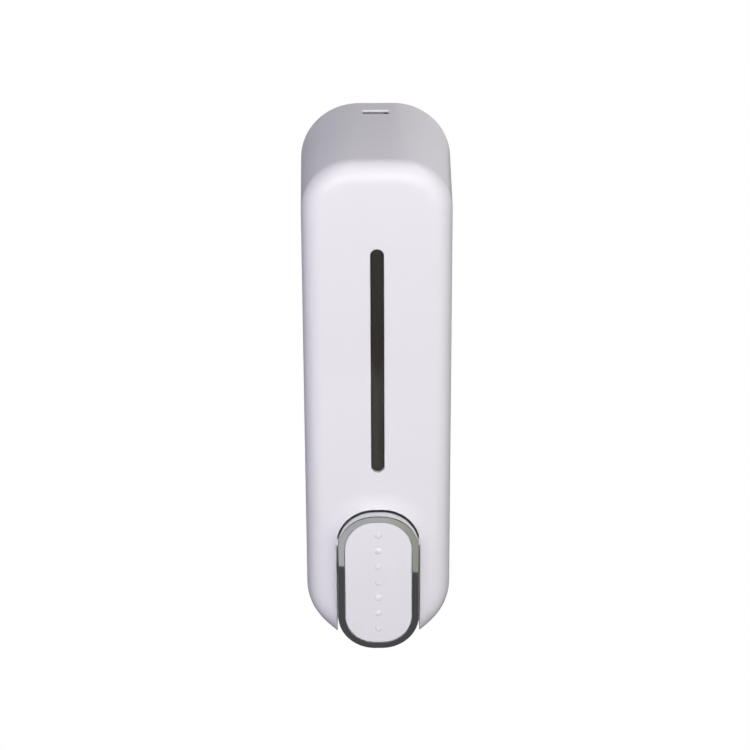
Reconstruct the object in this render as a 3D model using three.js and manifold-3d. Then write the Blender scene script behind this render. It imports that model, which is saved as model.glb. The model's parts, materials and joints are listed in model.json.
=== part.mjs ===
// Wall mounted soap dispenser with a push button, a removable tank and a hinged front cover.
//
// Millimetres. +Z is up, the wall is the plane y = 0 and the front faces -Y, so +X is on the right of
// someone who stands in front of it. The origin is on the back of the back plate, at mid height.
//
// The cover, the button and the window swing down together about a pin at the bottom. The back plate,
// the tank and the pump stay on the wall.
import * as THREE from "three";
import { mergeVertices } from "three/addons/utils/BufferGeometryUtils.js";
import Module from "manifold-3d";

const wasm = await Module();
wasm.setup();

// ---------------------------------------------------------------- driving dimensions

// Casing
const BODY_WIDTH = 66; // at the front edge
const BODY_HEIGHT = 238.4; // at the front edge
const BODY_DEPTH = 78.8; // wall to front face
const SIDE_DRAFT = 1.2; // how much further out each side is at the wall
const END_DRAFT = 0.45; // the same, top and bottom
const FRONT_FILLET = 8.8;
const TOP_CORNER_FRONT = 23.2;
const TOP_CORNER_WALL = 26.5;
const BOTTOM_CORNER = 29.6;
const COVER_WALL = 2.2;

// Level window
const SLOT_WIDTH = 6;
const SLOT_TOP_MARGIN = 38.8; // top of the casing to top of the slot
const SLOT_ABOVE_BUTTON = 17.9; // button hole to bottom of the slot
const LENS_FIT = 0.3;
const LENS_RECESS = 0.9;
const LENS_FLANGE = 3.6;
const LENS_FLANGE_THICKNESS = 1.5;
const LENS_FRAME_THICKNESS = 1.6;

// Button
const BUTTON_WIDTH = 37.2;
const BUTTON_HEIGHT = 69.5;
const BUTTON_CORNER = 17;
const BUTTON_ABOVE_BASE = 2.5; // bottom of the button above the bottom of the casing
const BUTTON_PROUD = 5.2; // in front of the collar
const BUTTON_TRAVEL = 8;
const BUTTON_GAP = 0.45; // running gap in the cover
const BEZEL_RIM = 3.3;
const BEZEL_RIM_DEPTH = 2;
const BEZEL_WALL = 1.6;
const BEZEL_DEPTH = 18;
const BEZEL_EDGE = 0.5;
const PAD_FLANGE = 1.2;
const PAD_FLANGE_THICKNESS = 1.3;
const CARRIER_PLATE = 2; // thickness
const SNAP_REACH = 1.4; // how far the bezel's snap ribs stand in
const SNAP_HALF = 5;
const GUIDE_WALL = 2;
const DOT_COUNT = 7;
const DOT_PITCH = 8.15;
const DOT_RADIUS = 1.55;
const DOT_HEIGHT = 0.75;
const DOT_RISE = 0.5; // middle dot above the middle of the pad
const COLLAR_HEIGHT = 2.5;
const COLLAR_REACH = 8.5; // how far the rise starts outside the hole

// Key slot and latch
const KEY_WIDTH = 11.7;
const KEY_REAR = 9.2; // wall to the rear edge of the slot
const KEY_FRONT = 14.6;
const KEY_STRIP = 1; // skin left over the nose, behind the slot
const LATCH_GAP = 3.4; // skin to the nose, so that a key's blade has room above it
const LATCH_TRAVEL = 3;
const LATCH_STEM_WIDTH = 12;
const LATCH_STEM_HEIGHT = 22;
const LATCH_SPRING_LENGTH = 12;

// Back plate and hinge
const PLATE_THICKNESS = 2.5;
const PLATE_GAP = 1; // inside the cover
const PLATE_RIM = 1.6;
const PLATE_RIM_DEPTH = 8;
const PLATE_BOTTOM_CORNER = 20;
const HINGE_Y = 8; // in front of the wall
const HINGE_ABOVE_BASE = 4; // above the bottom of the casing
const HINGE_BARREL_RADIUS = 3;
const HINGE_PIN_RADIUS = 1.25;
const HINGE_LUG_WIDTH = 10;
const HINGE_EAR_WIDTH = 4;
const SCREW_SEAT_RADIUS = 6;
const WALL_SCREW_RADIUS = 2.4;
const WALL_SCREW_SPACING_X = 34;
const WALL_SCREW_TOP = 33; // below the top of the casing
const WALL_SCREW_BOTTOM = 62; // above the bottom of the casing

// Tank
const TANK_SIDE_GAP = 1.8; // inside the cover
const TANK_REAR_Y = 11;
const TANK_WALL = 1.7;
const TANK_CORNER = 9;
const TANK_TOP_MARGIN = 31; // top of the casing to the rim of the tank
const RIM_FLANGE = 0.9; // how far the rim and the lid stand out
const HOOK_X = 22; // tank hooks, either side of the middle
const SPIGOT_RADIUS = 7;
const LID_THICKNESS = 2.2;
const LID_SKIRT = 5;
const SHELF_THICKNESS = 3;
const TANK_ABOVE_GUIDE = 2.5;

// Pump
const BORE_RADIUS = 8;
const BARREL_WALL = 2;
const BARREL_REAR_Y = 18;
const CHAMBER_REST = 4; // left in front of the piston at the end of its stroke
const PUMP_ABOVE_MIDDLE = 6; // pump axis above the middle of the button
const INLET_Y = 26; // tank outlet and inlet cup, in front of the wall
const PUMP_PORT_Y = 22.8;
const PORT_RADIUS = 2.2;
const CUP_WALL = 1.9;
const NIPPLE_RADIUS = 5.4; // outlet of the pump
const NIPPLE_BORE = 3.6;
const GLAND_WALL = 3;
const ROD_RADIUS = 3.5;
const PLUNGER_HEAD_RADIUS = 8;
const PLUNGER_HEAD_THICKNESS = 2.5;
const PISTON_LENGTH = 7;
const SEAL_LENGTH = 2.8; // groove of the piston seal
const SPRING_WIRE = 1.1;
const SPRING_TURNS = 5;
const SPOUT_Y = 46; // nozzle in front of the wall
const SPOUT_BORE = 2.3;
const SPOUT_WALL = 2;
const NOZZLE_BELOW_BASE = 3;

// Screws and their bosses
const SCREW_HEAD = 1.3; // height of a small pan head
const THREAD_RADIUS = 1.1;
const BOSS_RADIUS = 2.6;

// Fits
const GAP = 0.3; // between pieces that rest on each other
const RUN = 0.4; // between pieces that slide on each other

// ---------------------------------------------------------------- places that follow from them

const TOP = BODY_HEIGHT / 2;
const BASE = -BODY_HEIGHT / 2;
const HALF_WIDTH = BODY_WIDTH / 2;
const FILLET_Y = -(BODY_DEPTH - FRONT_FILLET); // where the sides turn into the front
const FACE_Y = -BODY_DEPTH;
const INNER_FACE_Y = FACE_Y + COVER_WALL;
const LIP_Y = FACE_Y - COLLAR_HEIGHT;
const BUTTON_FRONT_Y = LIP_Y - BUTTON_PROUD;
const BUTTON_BASE = BASE + BUTTON_ABOVE_BASE;
const BUTTON_TOP = BUTTON_BASE + BUTTON_HEIGHT;
const BUTTON_Z = (BUTTON_BASE + BUTTON_TOP) / 2;
const HOLE_TOP = BUTTON_TOP + BUTTON_GAP;
const SLOT_TOP = TOP - SLOT_TOP_MARGIN;
const SLOT_BOTTOM = HOLE_TOP + SLOT_ABOVE_BUTTON;
const INNER_TOP = TOP - COVER_WALL;
const KEY_SURFACE = TOP + END_DRAFT * (1 + KEY_REAR / FILLET_Y); // top wall at the key slot
const INNER_HALF_FRONT = HALF_WIDTH - COVER_WALL;

const HINGE_Z = BASE + HINGE_ABOVE_BASE;
const PUMP_Z = BUTTON_Z + PUMP_ABOVE_MIDDLE;
const BARREL_RADIUS = BORE_RADIUS + BARREL_WALL;
const BARREL_LENGTH = BARREL_WALL + CHAMBER_REST + BUTTON_TRAVEL + PISTON_LENGTH + 1;
const BARREL_FRONT_Y = -(BARREL_REAR_Y + BARREL_LENGTH);
const GLAND_FRONT_Y = BARREL_FRONT_Y - GAP - GLAND_WALL;
const CUP_INNER = SPIGOT_RADIUS + 1.6;
const CUP_RADIUS = CUP_INNER + CUP_WALL;
const CUP_FLOOR = PUMP_Z + BARREL_RADIUS;
const SPIGOT_BASE = CUP_FLOOR + 2.5;
const TANK_BASE = HOLE_TOP + RUN + GUIDE_WALL + TANK_ABOVE_GUIDE;
const SHELF_TOP = TANK_BASE - GAP;
const CUP_TOP = SHELF_TOP - SHELF_THICKNESS - 2;
const TANK_RIM = TOP - TANK_TOP_MARGIN;
const TANK_HALF = INNER_HALF_FRONT - TANK_SIDE_GAP;
const LENS_REAR_Y = INNER_FACE_Y + GAP + LENS_FLANGE_THICKNESS;
const FRAME_FRONT_Y = LENS_REAR_Y + GAP;
const FRAME_REAR_Y = FRAME_FRONT_Y + LENS_FRAME_THICKNESS;
const TANK_FRONT_Y = FRAME_REAR_Y + GAP + SCREW_HEAD + 1;
const PIN_REACH = HINGE_LUG_WIDTH / 2 + RUN + HINGE_EAR_WIDTH;

// ---------------------------------------------------------------- solids

// A closed geometry as a manifold-3d solid. Faces that shrink to a line at a pole are left out, and a
// geometry whose outline runs the other way is turned to face outwards.
function solid(geometry) {
  const bare = geometry.index ? geometry.toNonIndexed() : geometry.clone();
  bare.deleteAttribute("normal");
  bare.deleteAttribute("uv");
  const merged = mergeVertices(bare, 1e-4);
  const vertProperties = merged.attributes.position.array;
  const corners = merged.index.array;
  const point = (i) => new THREE.Vector3().fromArray(vertProperties, 3 * i);
  const faces = [];
  let volume = 0;
  for (let i = 0; i < corners.length; i += 3) {
    const [a, b, c] = corners.slice(i, i + 3);
    if (a === b || b === c || c === a) continue;
    faces.push([a, b, c]);
    volume += point(a).dot(point(b).cross(point(c)));
  }
  const outward = volume > 0 ? faces : faces.map(([a, b, c]) => [a, c, b]);
  const triVerts = new Uint32Array(outward.flat());
  return new wasm.Manifold(new wasm.Mesh({ numProp: 3, vertProperties, triVerts }));
}

function geometryOf(body) {
  const mesh = body.getMesh();
  const geometry = new THREE.BufferGeometry();
  geometry.setAttribute("position", new THREE.BufferAttribute(mesh.vertProperties, 3));
  geometry.setIndex(new THREE.BufferAttribute(mesh.triVerts, 1));
  geometry.computeVertexNormals();
  return geometry;
}

const join = (first, ...rest) => rest.reduce((all, one) => all.add(one), first);
const cut = (first, ...rest) => rest.reduce((all, one) => all.subtract(one), first);

// A box between two corners, in any order.
function box(x0, x1, y0, y1, z0, z1) {
  const geometry = new THREE.BoxGeometry(Math.abs(x1 - x0), Math.abs(y1 - y0), Math.abs(z1 - z0));
  return solid(geometry.translate((x0 + x1) / 2, (y0 + y1) / 2, (z0 + z1) / 2));
}

// A round bar along Z, Y or X between two heights on that axis.
function barZ(radius, x, y, z0, z1, sides = 24) {
  const geometry = new THREE.CylinderGeometry(radius, radius, Math.abs(z1 - z0), sides);
  return solid(geometry.rotateX(Math.PI / 2).translate(x, y, (z0 + z1) / 2));
}
function barY(radius, x, z, y0, y1, sides = 24) {
  const geometry = new THREE.CylinderGeometry(radius, radius, Math.abs(y1 - y0), sides);
  return solid(geometry.translate(x, (y0 + y1) / 2, z));
}
function barX(radius, y, z, x0, x1, sides = 24) {
  const geometry = new THREE.CylinderGeometry(radius, radius, Math.abs(x1 - x0), sides);
  return solid(geometry.rotateZ(Math.PI / 2).translate((x0 + x1) / 2, y, z));
}

// A turned solid about +Z: the profile is [radius, z] and starts and ends on the axis or closes on itself.
function turned(profile, sides = 32) {
  const points = profile.map(([radius, z]) => new THREE.Vector2(radius, z));
  return solid(new THREE.LatheGeometry(points, sides).rotateX(Math.PI / 2));
}

// A solid through rings of equally many points, closed by flat faces at both ends.
function loft(rings) {
  const count = rings[0].length;
  const positions = rings.flat().flatMap((point) => [point.x, point.y, point.z]);
  const index = [];
  for (let ring = 0; ring < rings.length - 1; ring++) {
    for (let i = 0; i < count; i++) {
      const next = (i + 1) % count;
      const a = ring * count + i;
      const b = ring * count + next;
      index.push(a, b, b + count, a, b + count, a + count);
    }
  }
  const flat = rings[0].map((point) => new THREE.Vector2(point.x, point.z));
  const caps = THREE.ShapeUtils.triangulateShape(flat, []);
  const last = (rings.length - 1) * count;
  for (const [a, b, c] of caps) {
    index.push(a, c, b);
    index.push(last + a, last + b, last + c);
  }
  const geometry = new THREE.BufferGeometry();
  geometry.setAttribute("position", new THREE.Float32BufferAttribute(positions, 3));
  geometry.setIndex(index);
  return solid(geometry);
}

// A rounded rectangle in the plane y, as a ring for loft. It runs anticlockwise seen from the front.
function ring(y, halfWidth, bottom, top, bottomCorner, topCorner, steps = 6) {
  const corners = [
    [halfWidth - topCorner, top - topCorner, topCorner, 0],
    [-halfWidth + topCorner, top - topCorner, topCorner, 1],
    [-halfWidth + bottomCorner, bottom + bottomCorner, bottomCorner, 2],
    [halfWidth - bottomCorner, bottom + bottomCorner, bottomCorner, 3],
  ];
  const points = [];
  for (const [x, z, radius, quarter] of corners) {
    for (let i = 0; i <= steps; i++) {
      const angle = ((quarter + i / steps) * Math.PI) / 2;
      points.push(new THREE.Vector3(x + radius * Math.cos(angle), y, z + radius * Math.sin(angle)));
    }
  }
  return points;
}

// A plate with the outline of a rounded rectangle, between two values of y.
function pill(yFront, yRear, halfWidth, bottom, top, corner, steps = 6) {
  return loft([
    ring(yRear, halfWidth, bottom, top, corner, corner, steps),
    ring(yFront, halfWidth, bottom, top, corner, corner, steps),
  ]);
}

// A round tube along a path, closed at both ends.
function rod(path, radius, steps, sides = 12) {
  const section = new THREE.Shape();
  section.absarc(0, 0, radius, 0, 2 * Math.PI);
  return solid(
    new THREE.ExtrudeGeometry(section, { extrudePath: path, steps, curveSegments: sides / 2 }),
  );
}

class Helix extends THREE.Curve {
  constructor(radius, foot, length, turns) {
    super();
    Object.assign(this, { radius, foot, length, turns });
  }
  getPoint(t, target = new THREE.Vector3()) {
    const angle = 2 * Math.PI * this.turns * t;
    const height = this.foot + this.length * t;
    return target.set(this.radius * Math.cos(angle), this.radius * Math.sin(angle), height);
  }
}

// A coil spring that stands on z = 0, wire included.
function coil(radius, wire, length, turns) {
  const path = new Helix(radius, wire / 2, length - wire, turns);
  return rod(path, wire / 2, turns * 10, 6);
}

// A pan head screw that points along +Z, with the underside of its head at z = 0 and a cross recess.
function panScrew(shank, length, head, height = SCREW_HEAD) {
  const body = turned(
    [
      [0, -height],
      [head * 0.7, -height],
      [head, -height * 0.45],
      [head, 0],
      [shank, 0],
      [shank, length - shank],
      [shank * 0.35, length],
      [0, length],
    ],
    10,
  );
  const arm = head * 0.55;
  const slot = head * 0.13;
  return cut(
    body,
    box(-arm, arm, -slot, slot, -height - 1, -height * 0.45),
    box(-slot, slot, -arm, arm, -height - 1, -height * 0.45),
  );
}

// ---------------------------------------------------------------- scene graph

// The pieces that move together share a group. The button rides on the cover.
const part = new THREE.Group();
const wallUnit = new THREE.Group();
const cover = new THREE.Group();
const button = new THREE.Group();
const piston = new THREE.Group();
const latch = new THREE.Group();
const lid = new THREE.Group();
cover.add(button);
part.add(wallUnit, cover, piston, latch, lid);

const FINISHES = {
  glossWhite: { color: 0xe9e8ee, roughness: 0.2, metalness: 0 },
  mattWhite: { color: 0xdcdcdf, roughness: 0.5, metalness: 0 },
  chrome: { color: 0xd5d7d6, roughness: 0.06, metalness: 1 },
  smoked: { color: 0x1c1a19, roughness: 0.15, metalness: 0 },
  clear: { color: 0xe6ecef, roughness: 0.35, metalness: 0 },
  grey: { color: 0x9fa3a6, roughness: 0.45, metalness: 0 },
  rubber: { color: 0x3b3d40, roughness: 0.7, metalness: 0 },
  steel: { color: 0xb9bbbd, roughness: 0.25, metalness: 1 },
};

// Adds a sub-part to a group, turned about X and then moved to its place.
function add(group, name, body, finish, place = [0, 0, 0], turn = 0) {
  const mesh = new THREE.Mesh(geometryOf(body), new THREE.MeshStandardMaterial(FINISHES[finish]));
  mesh.name = name;
  mesh.position.set(...place);
  mesh.rotation.x = turn;
  group.add(mesh);
}

// ---------------------------------------------------------------- front cover

// The outer or inner skin of the casing: inset moves it inwards, start is where it begins.
function casing(inset, startY, forward = 0) {
  const outline = (y, fillet) => {
    const t = y / FILLET_Y; // 0 at the wall, 1 at the front edge
    const side = HALF_WIDTH + SIDE_DRAFT * (1 - t) - inset - fillet;
    const end = TOP + END_DRAFT * (1 - t) - inset - fillet;
    const corner = TOP_CORNER_WALL + (TOP_CORNER_FRONT - TOP_CORNER_WALL) * t - inset - fillet;
    return [side, -end, end, BOTTOM_CORNER - inset - fillet, corner];
  };
  const radius = FRONT_FILLET - inset;
  const rings = [ring(startY, ...outline(startY, 0))];
  const steps = 5;
  for (let i = 0; i <= steps; i++) {
    const angle = (i / steps) * (Math.PI / 2);
    const y = FILLET_Y - (radius + forward) * Math.sin(angle);
    rings.push(ring(y, ...outline(FILLET_Y, radius * (1 - Math.cos(angle)))));
  }
  return loft(rings);
}

// The rise around the button, a mound that follows the fillet at the bottom of the casing.
function collar() {
  const profile = [
    [COLLAR_REACH, 0.02],
    [COLLAR_REACH * 0.65, 0.14],
    [COLLAR_REACH * 0.42, 0.44],
    [COLLAR_REACH * 0.22, 0.82],
    [COLLAR_REACH * 0.1, 1],
  ];
  const below = BUTTON_BASE - COLLAR_REACH - BUTTON_CORNER;
  const rings = [[COLLAR_REACH, -FRONT_FILLET / COLLAR_HEIGHT], ...profile].map(([reach, rise]) =>
    ring(
      FACE_Y - rise * COLLAR_HEIGHT,
      BUTTON_WIDTH / 2 + BUTTON_GAP + reach,
      below,
      HOLE_TOP + reach,
      BUTTON_CORNER + reach,
      BUTTON_CORNER + BUTTON_GAP + reach,
    ),
  );
  return loft(rings).intersect(casing(0, FILLET_Y + 1, COLLAR_HEIGHT));
}

// The guide's ears sit half way between its wall and the side of the cover.
const GUIDE_HALF = BUTTON_WIDTH / 2 + BUTTON_GAP + RUN + GUIDE_WALL;
const SCREW_EAR_X = (GUIDE_HALF + INNER_HALF_FRONT) / 2;
const GUIDE_SCREWS = [-1, 1].flatMap((side) =>
  [0.34, -0.14].map((share) => [side * SCREW_EAR_X, BUTTON_Z + share * BUTTON_HEIGHT]),
);
const LENS_SCREWS = [SLOT_TOP + 8.5, SLOT_BOTTOM - 8.5];
const EAR_BOSS_Y = INNER_FACE_Y + 4.6;
const LENS_BOSS_Y = LENS_REAR_Y;
const PILOT_RADIUS = THREAD_RADIUS + GAP;

function frontCover() {
  const shell = cut(join(casing(0, 0), collar()), casing(COVER_WALL, 1));
  const hole = pill(
    LIP_Y - 5,
    FILLET_Y + 8,
    BUTTON_WIDTH / 2 + BUTTON_GAP,
    BASE - 40,
    HOLE_TOP,
    BUTTON_CORNER + BUTTON_GAP,
    8,
  );
  const spoutWidth = SPOUT_BORE + SPOUT_WALL + 6;
  const spoutHole = join(
    barZ(spoutWidth, 0, -SPOUT_Y, BASE - 5, BASE + 12),
    box(-spoutWidth, spoutWidth, FILLET_Y, -SPOUT_Y, BASE - 5, BASE + 12),
  );
  const window = pill(
    FACE_Y - 5,
    INNER_FACE_Y + 5,
    SLOT_WIDTH / 2,
    SLOT_BOTTOM,
    SLOT_TOP,
    SLOT_WIDTH / 2 - 0.01,
  );
  const keyHalf = KEY_WIDTH / 2;
  const keySlot = box(-keyHalf, keyHalf, -KEY_FRONT, -KEY_REAR, INNER_TOP - 3, TOP + 5);
  const noseRelief = box(
    -keyHalf - RUN,
    keyHalf + RUN,
    -KEY_FRONT,
    1,
    INNER_TOP - 3,
    KEY_SURFACE - KEY_STRIP,
  );
  // The bottom wall stops short of the wall so that it can swing about the pin.
  const swingRelief = box(-24, 24, -HINGE_Y + 3.5, 2, BASE - 5, HINGE_Z + 0.4);
  const lugHalf = HINGE_LUG_WIDTH / 2 + RUN;
  const lugRelief = box(
    -lugHalf,
    lugHalf,
    -HINGE_Y - HINGE_BARREL_RADIUS - RUN - 0.6,
    2,
    BASE - 5,
    HINGE_Z + HINGE_BARREL_RADIUS + 1,
  );
  const ears = [-1, 1].map((side) =>
    barX(HINGE_BARREL_RADIUS, -HINGE_Y, HINGE_Z, side * lugHalf, side * PIN_REACH),
  );
  const pinHole = barX(HINGE_PIN_RADIUS + 0.1, -HINGE_Y, HINGE_Z, -PIN_REACH - 1, PIN_REACH + 1);
  const earBosses = GUIDE_SCREWS.map(([x, z]) =>
    barY(BOSS_RADIUS, x, z, INNER_FACE_Y - 0.6, EAR_BOSS_Y, 20),
  );
  const earPilots = GUIDE_SCREWS.map(([x, z]) =>
    barY(PILOT_RADIUS, x, z, INNER_FACE_Y + 0.4, EAR_BOSS_Y + 1, 12),
  );
  const lensBosses = LENS_SCREWS.map((z) =>
    barY(BOSS_RADIUS, 0, z, INNER_FACE_Y - 0.6, LENS_BOSS_Y, 20),
  );
  const lensPilots = LENS_SCREWS.map((z) =>
    barY(PILOT_RADIUS, 0, z, INNER_FACE_Y - 1, LENS_BOSS_Y + 1, 12),
  );
  const plain = cut(join(shell, ...earBosses, ...lensBosses), hole, spoutHole, window);
  const open = cut(plain, keySlot, noseRelief, swingRelief, lugRelief, ...earPilots, ...lensPilots);
  return cut(join(open, ...ears), pinHole);
}

// ---------------------------------------------------------------- window

function windowLens() {
  const flangeHalf = SLOT_WIDTH / 2 + LENS_FLANGE;
  const flange = pill(
    INNER_FACE_Y + GAP,
    LENS_REAR_Y,
    flangeHalf,
    SLOT_BOTTOM - LENS_FLANGE,
    SLOT_TOP + LENS_FLANGE,
    flangeHalf - 0.01,
  );
  const rib = pill(
    FACE_Y + LENS_RECESS,
    INNER_FACE_Y + GAP + 0.1,
    SLOT_WIDTH / 2 - LENS_FIT,
    SLOT_BOTTOM + LENS_FIT,
    SLOT_TOP - LENS_FIT,
    SLOT_WIDTH / 2 - LENS_FIT - 0.01,
  );
  return join(flange, rib);
}

function lensFrame() {
  const outerHalf = SLOT_WIDTH / 2 + LENS_FLANGE + 3;
  const border = 12.2;
  const outer = pill(
    FRAME_FRONT_Y,
    FRAME_REAR_Y,
    outerHalf,
    SLOT_BOTTOM - border,
    SLOT_TOP + border,
    outerHalf - 0.01,
  );
  const opening = pill(
    FRAME_FRONT_Y - 1,
    FRAME_REAR_Y + 1,
    SLOT_WIDTH / 2 + 1.2,
    SLOT_BOTTOM - 1,
    SLOT_TOP + 1,
    SLOT_WIDTH / 2 + 1,
  );
  const holes = LENS_SCREWS.map((z) =>
    barY(THREAD_RADIUS + GAP, 0, z, FRAME_FRONT_Y - 1, FRAME_REAR_Y + 1, 16),
  );
  return cut(outer, opening, ...holes);
}

// ---------------------------------------------------------------- button

const BEZEL_REAR_Y = BUTTON_FRONT_Y + BEZEL_DEPTH;
const PAD_REAR_Y = BUTTON_FRONT_Y + BEZEL_RIM_DEPTH + GAP + PAD_FLANGE_THICKNESS;
const CARRIER_FRONT_Y = PAD_REAR_Y + GAP;
const CARRIER_REAR_Y = FILLET_Y + 6.5; // behind the guide
const GUIDE_REAR_Y = CARRIER_REAR_Y - 2 - GAP;
const PUSHER_REAR_Y = CARRIER_REAR_Y + 2;
const PLUNGER_FRONT_Y = PUSHER_REAR_Y + GAP;
const CARRIER_INSET = BEZEL_RIM + 2.2;
const CARRIER_SCREWS = [BUTTON_BASE + 15, BUTTON_TOP - 12];

// The outline of the button moved inwards by an inset, as a plate.
function buttonPlate(yFront, yRear, inset) {
  return pill(
    yFront,
    yRear,
    BUTTON_WIDTH / 2 - inset,
    BUTTON_BASE + inset,
    BUTTON_TOP - inset,
    BUTTON_CORNER - inset,
    8,
  );
}

function buttonBezel() {
  const edgeRing = (y, inset) =>
    ring(
      y,
      BUTTON_WIDTH / 2 - inset,
      BUTTON_BASE + inset,
      BUTTON_TOP - inset,
      BUTTON_CORNER - inset,
      BUTTON_CORNER - inset,
      8,
    );
  const outer = loft([
    edgeRing(BEZEL_REAR_Y, 0),
    edgeRing(BUTTON_FRONT_Y + BEZEL_EDGE, 0),
    edgeRing(BUTTON_FRONT_Y + BEZEL_EDGE * 0.3, BEZEL_EDGE * 0.3),
    edgeRing(BUTTON_FRONT_Y, BEZEL_EDGE),
  ]);
  const cavity = buttonPlate(BUTTON_FRONT_Y + BEZEL_RIM_DEPTH, BEZEL_REAR_Y + 1, BEZEL_WALL);
  const opening = buttonPlate(BUTTON_FRONT_Y - 1, BEZEL_REAR_Y, BEZEL_RIM - 0.05);
  // Two ribs snap in behind the carrier's plate.
  const ribFront = CARRIER_FRONT_Y + CARRIER_PLATE + GAP;
  const ribReach = BEZEL_WALL + SNAP_REACH;
  const ribs = [
    box(-SNAP_HALF, SNAP_HALF, ribFront, ribFront + 1.5, BUTTON_TOP - 1, BUTTON_TOP - ribReach),
    box(-SNAP_HALF, SNAP_HALF, ribFront, ribFront + 1.5, BUTTON_BASE + 1, BUTTON_BASE + ribReach),
  ];
  return join(cut(outer, cavity, opening), ...ribs);
}

// A flat dome on the front of the pad, with its foot inside the pad.
function dot(z) {
  const steps = 2;
  const foot = 0.4;
  const profile = [new THREE.Vector2(0, foot), new THREE.Vector2(DOT_RADIUS, foot)];
  for (let i = 0; i < steps; i++) {
    const angle = (i / steps) * (Math.PI / 2);
    profile.push(new THREE.Vector2(DOT_RADIUS * Math.cos(angle), -DOT_HEIGHT * Math.sin(angle)));
  }
  profile.push(new THREE.Vector2(0, -DOT_HEIGHT));
  return solid(new THREE.LatheGeometry(profile, 10).translate(0, BUTTON_FRONT_Y, z));
}

function buttonPad() {
  const face = buttonPlate(BUTTON_FRONT_Y, PAD_REAR_Y - 0.2, BEZEL_RIM + 0.1);
  const flange = buttonPlate(
    PAD_REAR_Y - PAD_FLANGE_THICKNESS,
    PAD_REAR_Y,
    BEZEL_RIM + 0.1 - PAD_FLANGE,
  );
  const dots = [];
  for (let i = 0; i < DOT_COUNT; i++) {
    dots.push(dot(BUTTON_Z + DOT_RISE + (i - (DOT_COUNT - 1) / 2) * DOT_PITCH));
  }
  const pilots = CARRIER_SCREWS.map((z) => barY(PILOT_RADIUS, 0, z, PAD_REAR_Y - 2.4, PAD_REAR_Y + 1, 12));
  return cut(join(face, flange, ...dots), ...pilots);
}

function buttonCarrier() {
  const fit = BEZEL_WALL + GAP;
  const rear = CARRIER_FRONT_Y + CARRIER_PLATE;
  const plate = buttonPlate(CARRIER_FRONT_Y, rear, fit);
  const core = buttonPlate(CARRIER_FRONT_Y + 0.5, CARRIER_REAR_Y, CARRIER_INSET);
  const hollow = buttonPlate(rear, CARRIER_REAR_Y + 1, CARRIER_INSET + 1.6);
  const pusher = barY(5, 0, PUMP_Z, CARRIER_FRONT_Y + 0.5, PUSHER_REAR_Y);
  const half = BUTTON_WIDTH / 2 - CARRIER_INSET - 0.5;
  const ribs = [PUMP_Z, BUTTON_Z - 8].map((z) =>
    box(-half, half, CARRIER_FRONT_Y + 0.5, CARRIER_REAR_Y - 2, z - 0.9, z + 0.9),
  );
  const stops = [-1, 1].map((side) =>
    box(
      side * half,
      side * (BUTTON_WIDTH / 2 + BUTTON_GAP + 2),
      GUIDE_REAR_Y + GAP,
      CARRIER_REAR_Y,
      BUTTON_Z - 7,
      BUTTON_Z + 7,
    ),
  );
  const holes = CARRIER_SCREWS.map((z) => barY(PILOT_RADIUS, 0, z, CARRIER_FRONT_Y - 1, rear + 1, 12));
  return cut(join(cut(join(plate, core), hollow), pusher, ...ribs, ...stops), ...holes);
}

// An arch that guides the button, screwed to the inside of the cover.
function buttonGuide() {
  const clear = BUTTON_GAP + RUN;
  const arch = (yFront, yRear, offset, bottom) =>
    pill(
      yFront,
      yRear,
      BUTTON_WIDTH / 2 + offset,
      bottom,
      BUTTON_TOP + offset,
      BUTTON_CORNER + offset,
      8,
    );
  const front = INNER_FACE_Y + GAP;
  const legBase = BUTTON_BASE + 17;
  const outer = arch(front, GUIDE_REAR_Y, clear + GUIDE_WALL, BUTTON_BASE - 40);
  const inner = arch(front - 1, GUIDE_REAR_Y + 1, clear, BUTTON_BASE - 40);
  const ears = GUIDE_SCREWS.map(([x, z]) =>
    join(
      barY(BOSS_RADIUS, x, z, EAR_BOSS_Y + GAP, EAR_BOSS_Y + GAP + 2, 20),
      box(
        Math.sign(x) * (BUTTON_WIDTH / 2 + clear + 1),
        x,
        EAR_BOSS_Y + GAP,
        EAR_BOSS_Y + GAP + 2,
        z - BOSS_RADIUS,
        z + BOSS_RADIUS,
      ),
    ),
  );
  const holes = GUIDE_SCREWS.map(([x, z]) => barY(PILOT_RADIUS, x, z, front, GUIDE_REAR_Y + 1, 12));
  const below = box(-BODY_WIDTH, BODY_WIDTH, front - 1, GUIDE_REAR_Y + 1, BASE - BODY_HEIGHT, legBase);
  const arched = cut(join(outer, ...ears), inner, below, ...holes);
  return arched.intersect(casing(COVER_WALL + GAP, GUIDE_REAR_Y + 2));
}

// ---------------------------------------------------------------- back plate

const PLATE_HALF = HALF_WIDTH + SIDE_DRAFT - COVER_WALL - PLATE_GAP;
const PLATE_TOP = TOP + END_DRAFT - COVER_WALL - PLATE_GAP;
const PLATE_BASE = BASE + 12;
const PLATE_TOP_CORNER = TOP_CORNER_WALL - COVER_WALL - PLATE_GAP;
const LATCH_REAR_Y = -(PLATE_THICKNESS + 1.2);
const LATCH_FRONT_Y = LATCH_REAR_Y - 3;
const NOSE_TOP = KEY_SURFACE - KEY_STRIP - LATCH_GAP;
const STEM_TOP = NOSE_TOP - 2.4;
const STEM_BASE = STEM_TOP - LATCH_STEM_HEIGHT;
const KEEPER_FRONT_Y = LATCH_FRONT_Y - RUN - 1.6;
const RAIL_OUTER = LATCH_STEM_WIDTH / 2 + RUN + 3.4;
const KEEPER_TOP = STEM_TOP - 2 - LATCH_TRAVEL;
const KEEPER_BASE = KEEPER_TOP - 9;
const KEEPER_SCREW_X = LATCH_STEM_WIDTH / 2 + RUN + 1.7;
const KEEPER_SCREW_Z = (KEEPER_TOP + KEEPER_BASE) / 2;
const LATCH_LEDGE = STEM_BASE - GAP - LATCH_SPRING_LENGTH - GAP;
const PUMP_SCREW_X = BARREL_RADIUS + 5;
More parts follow.
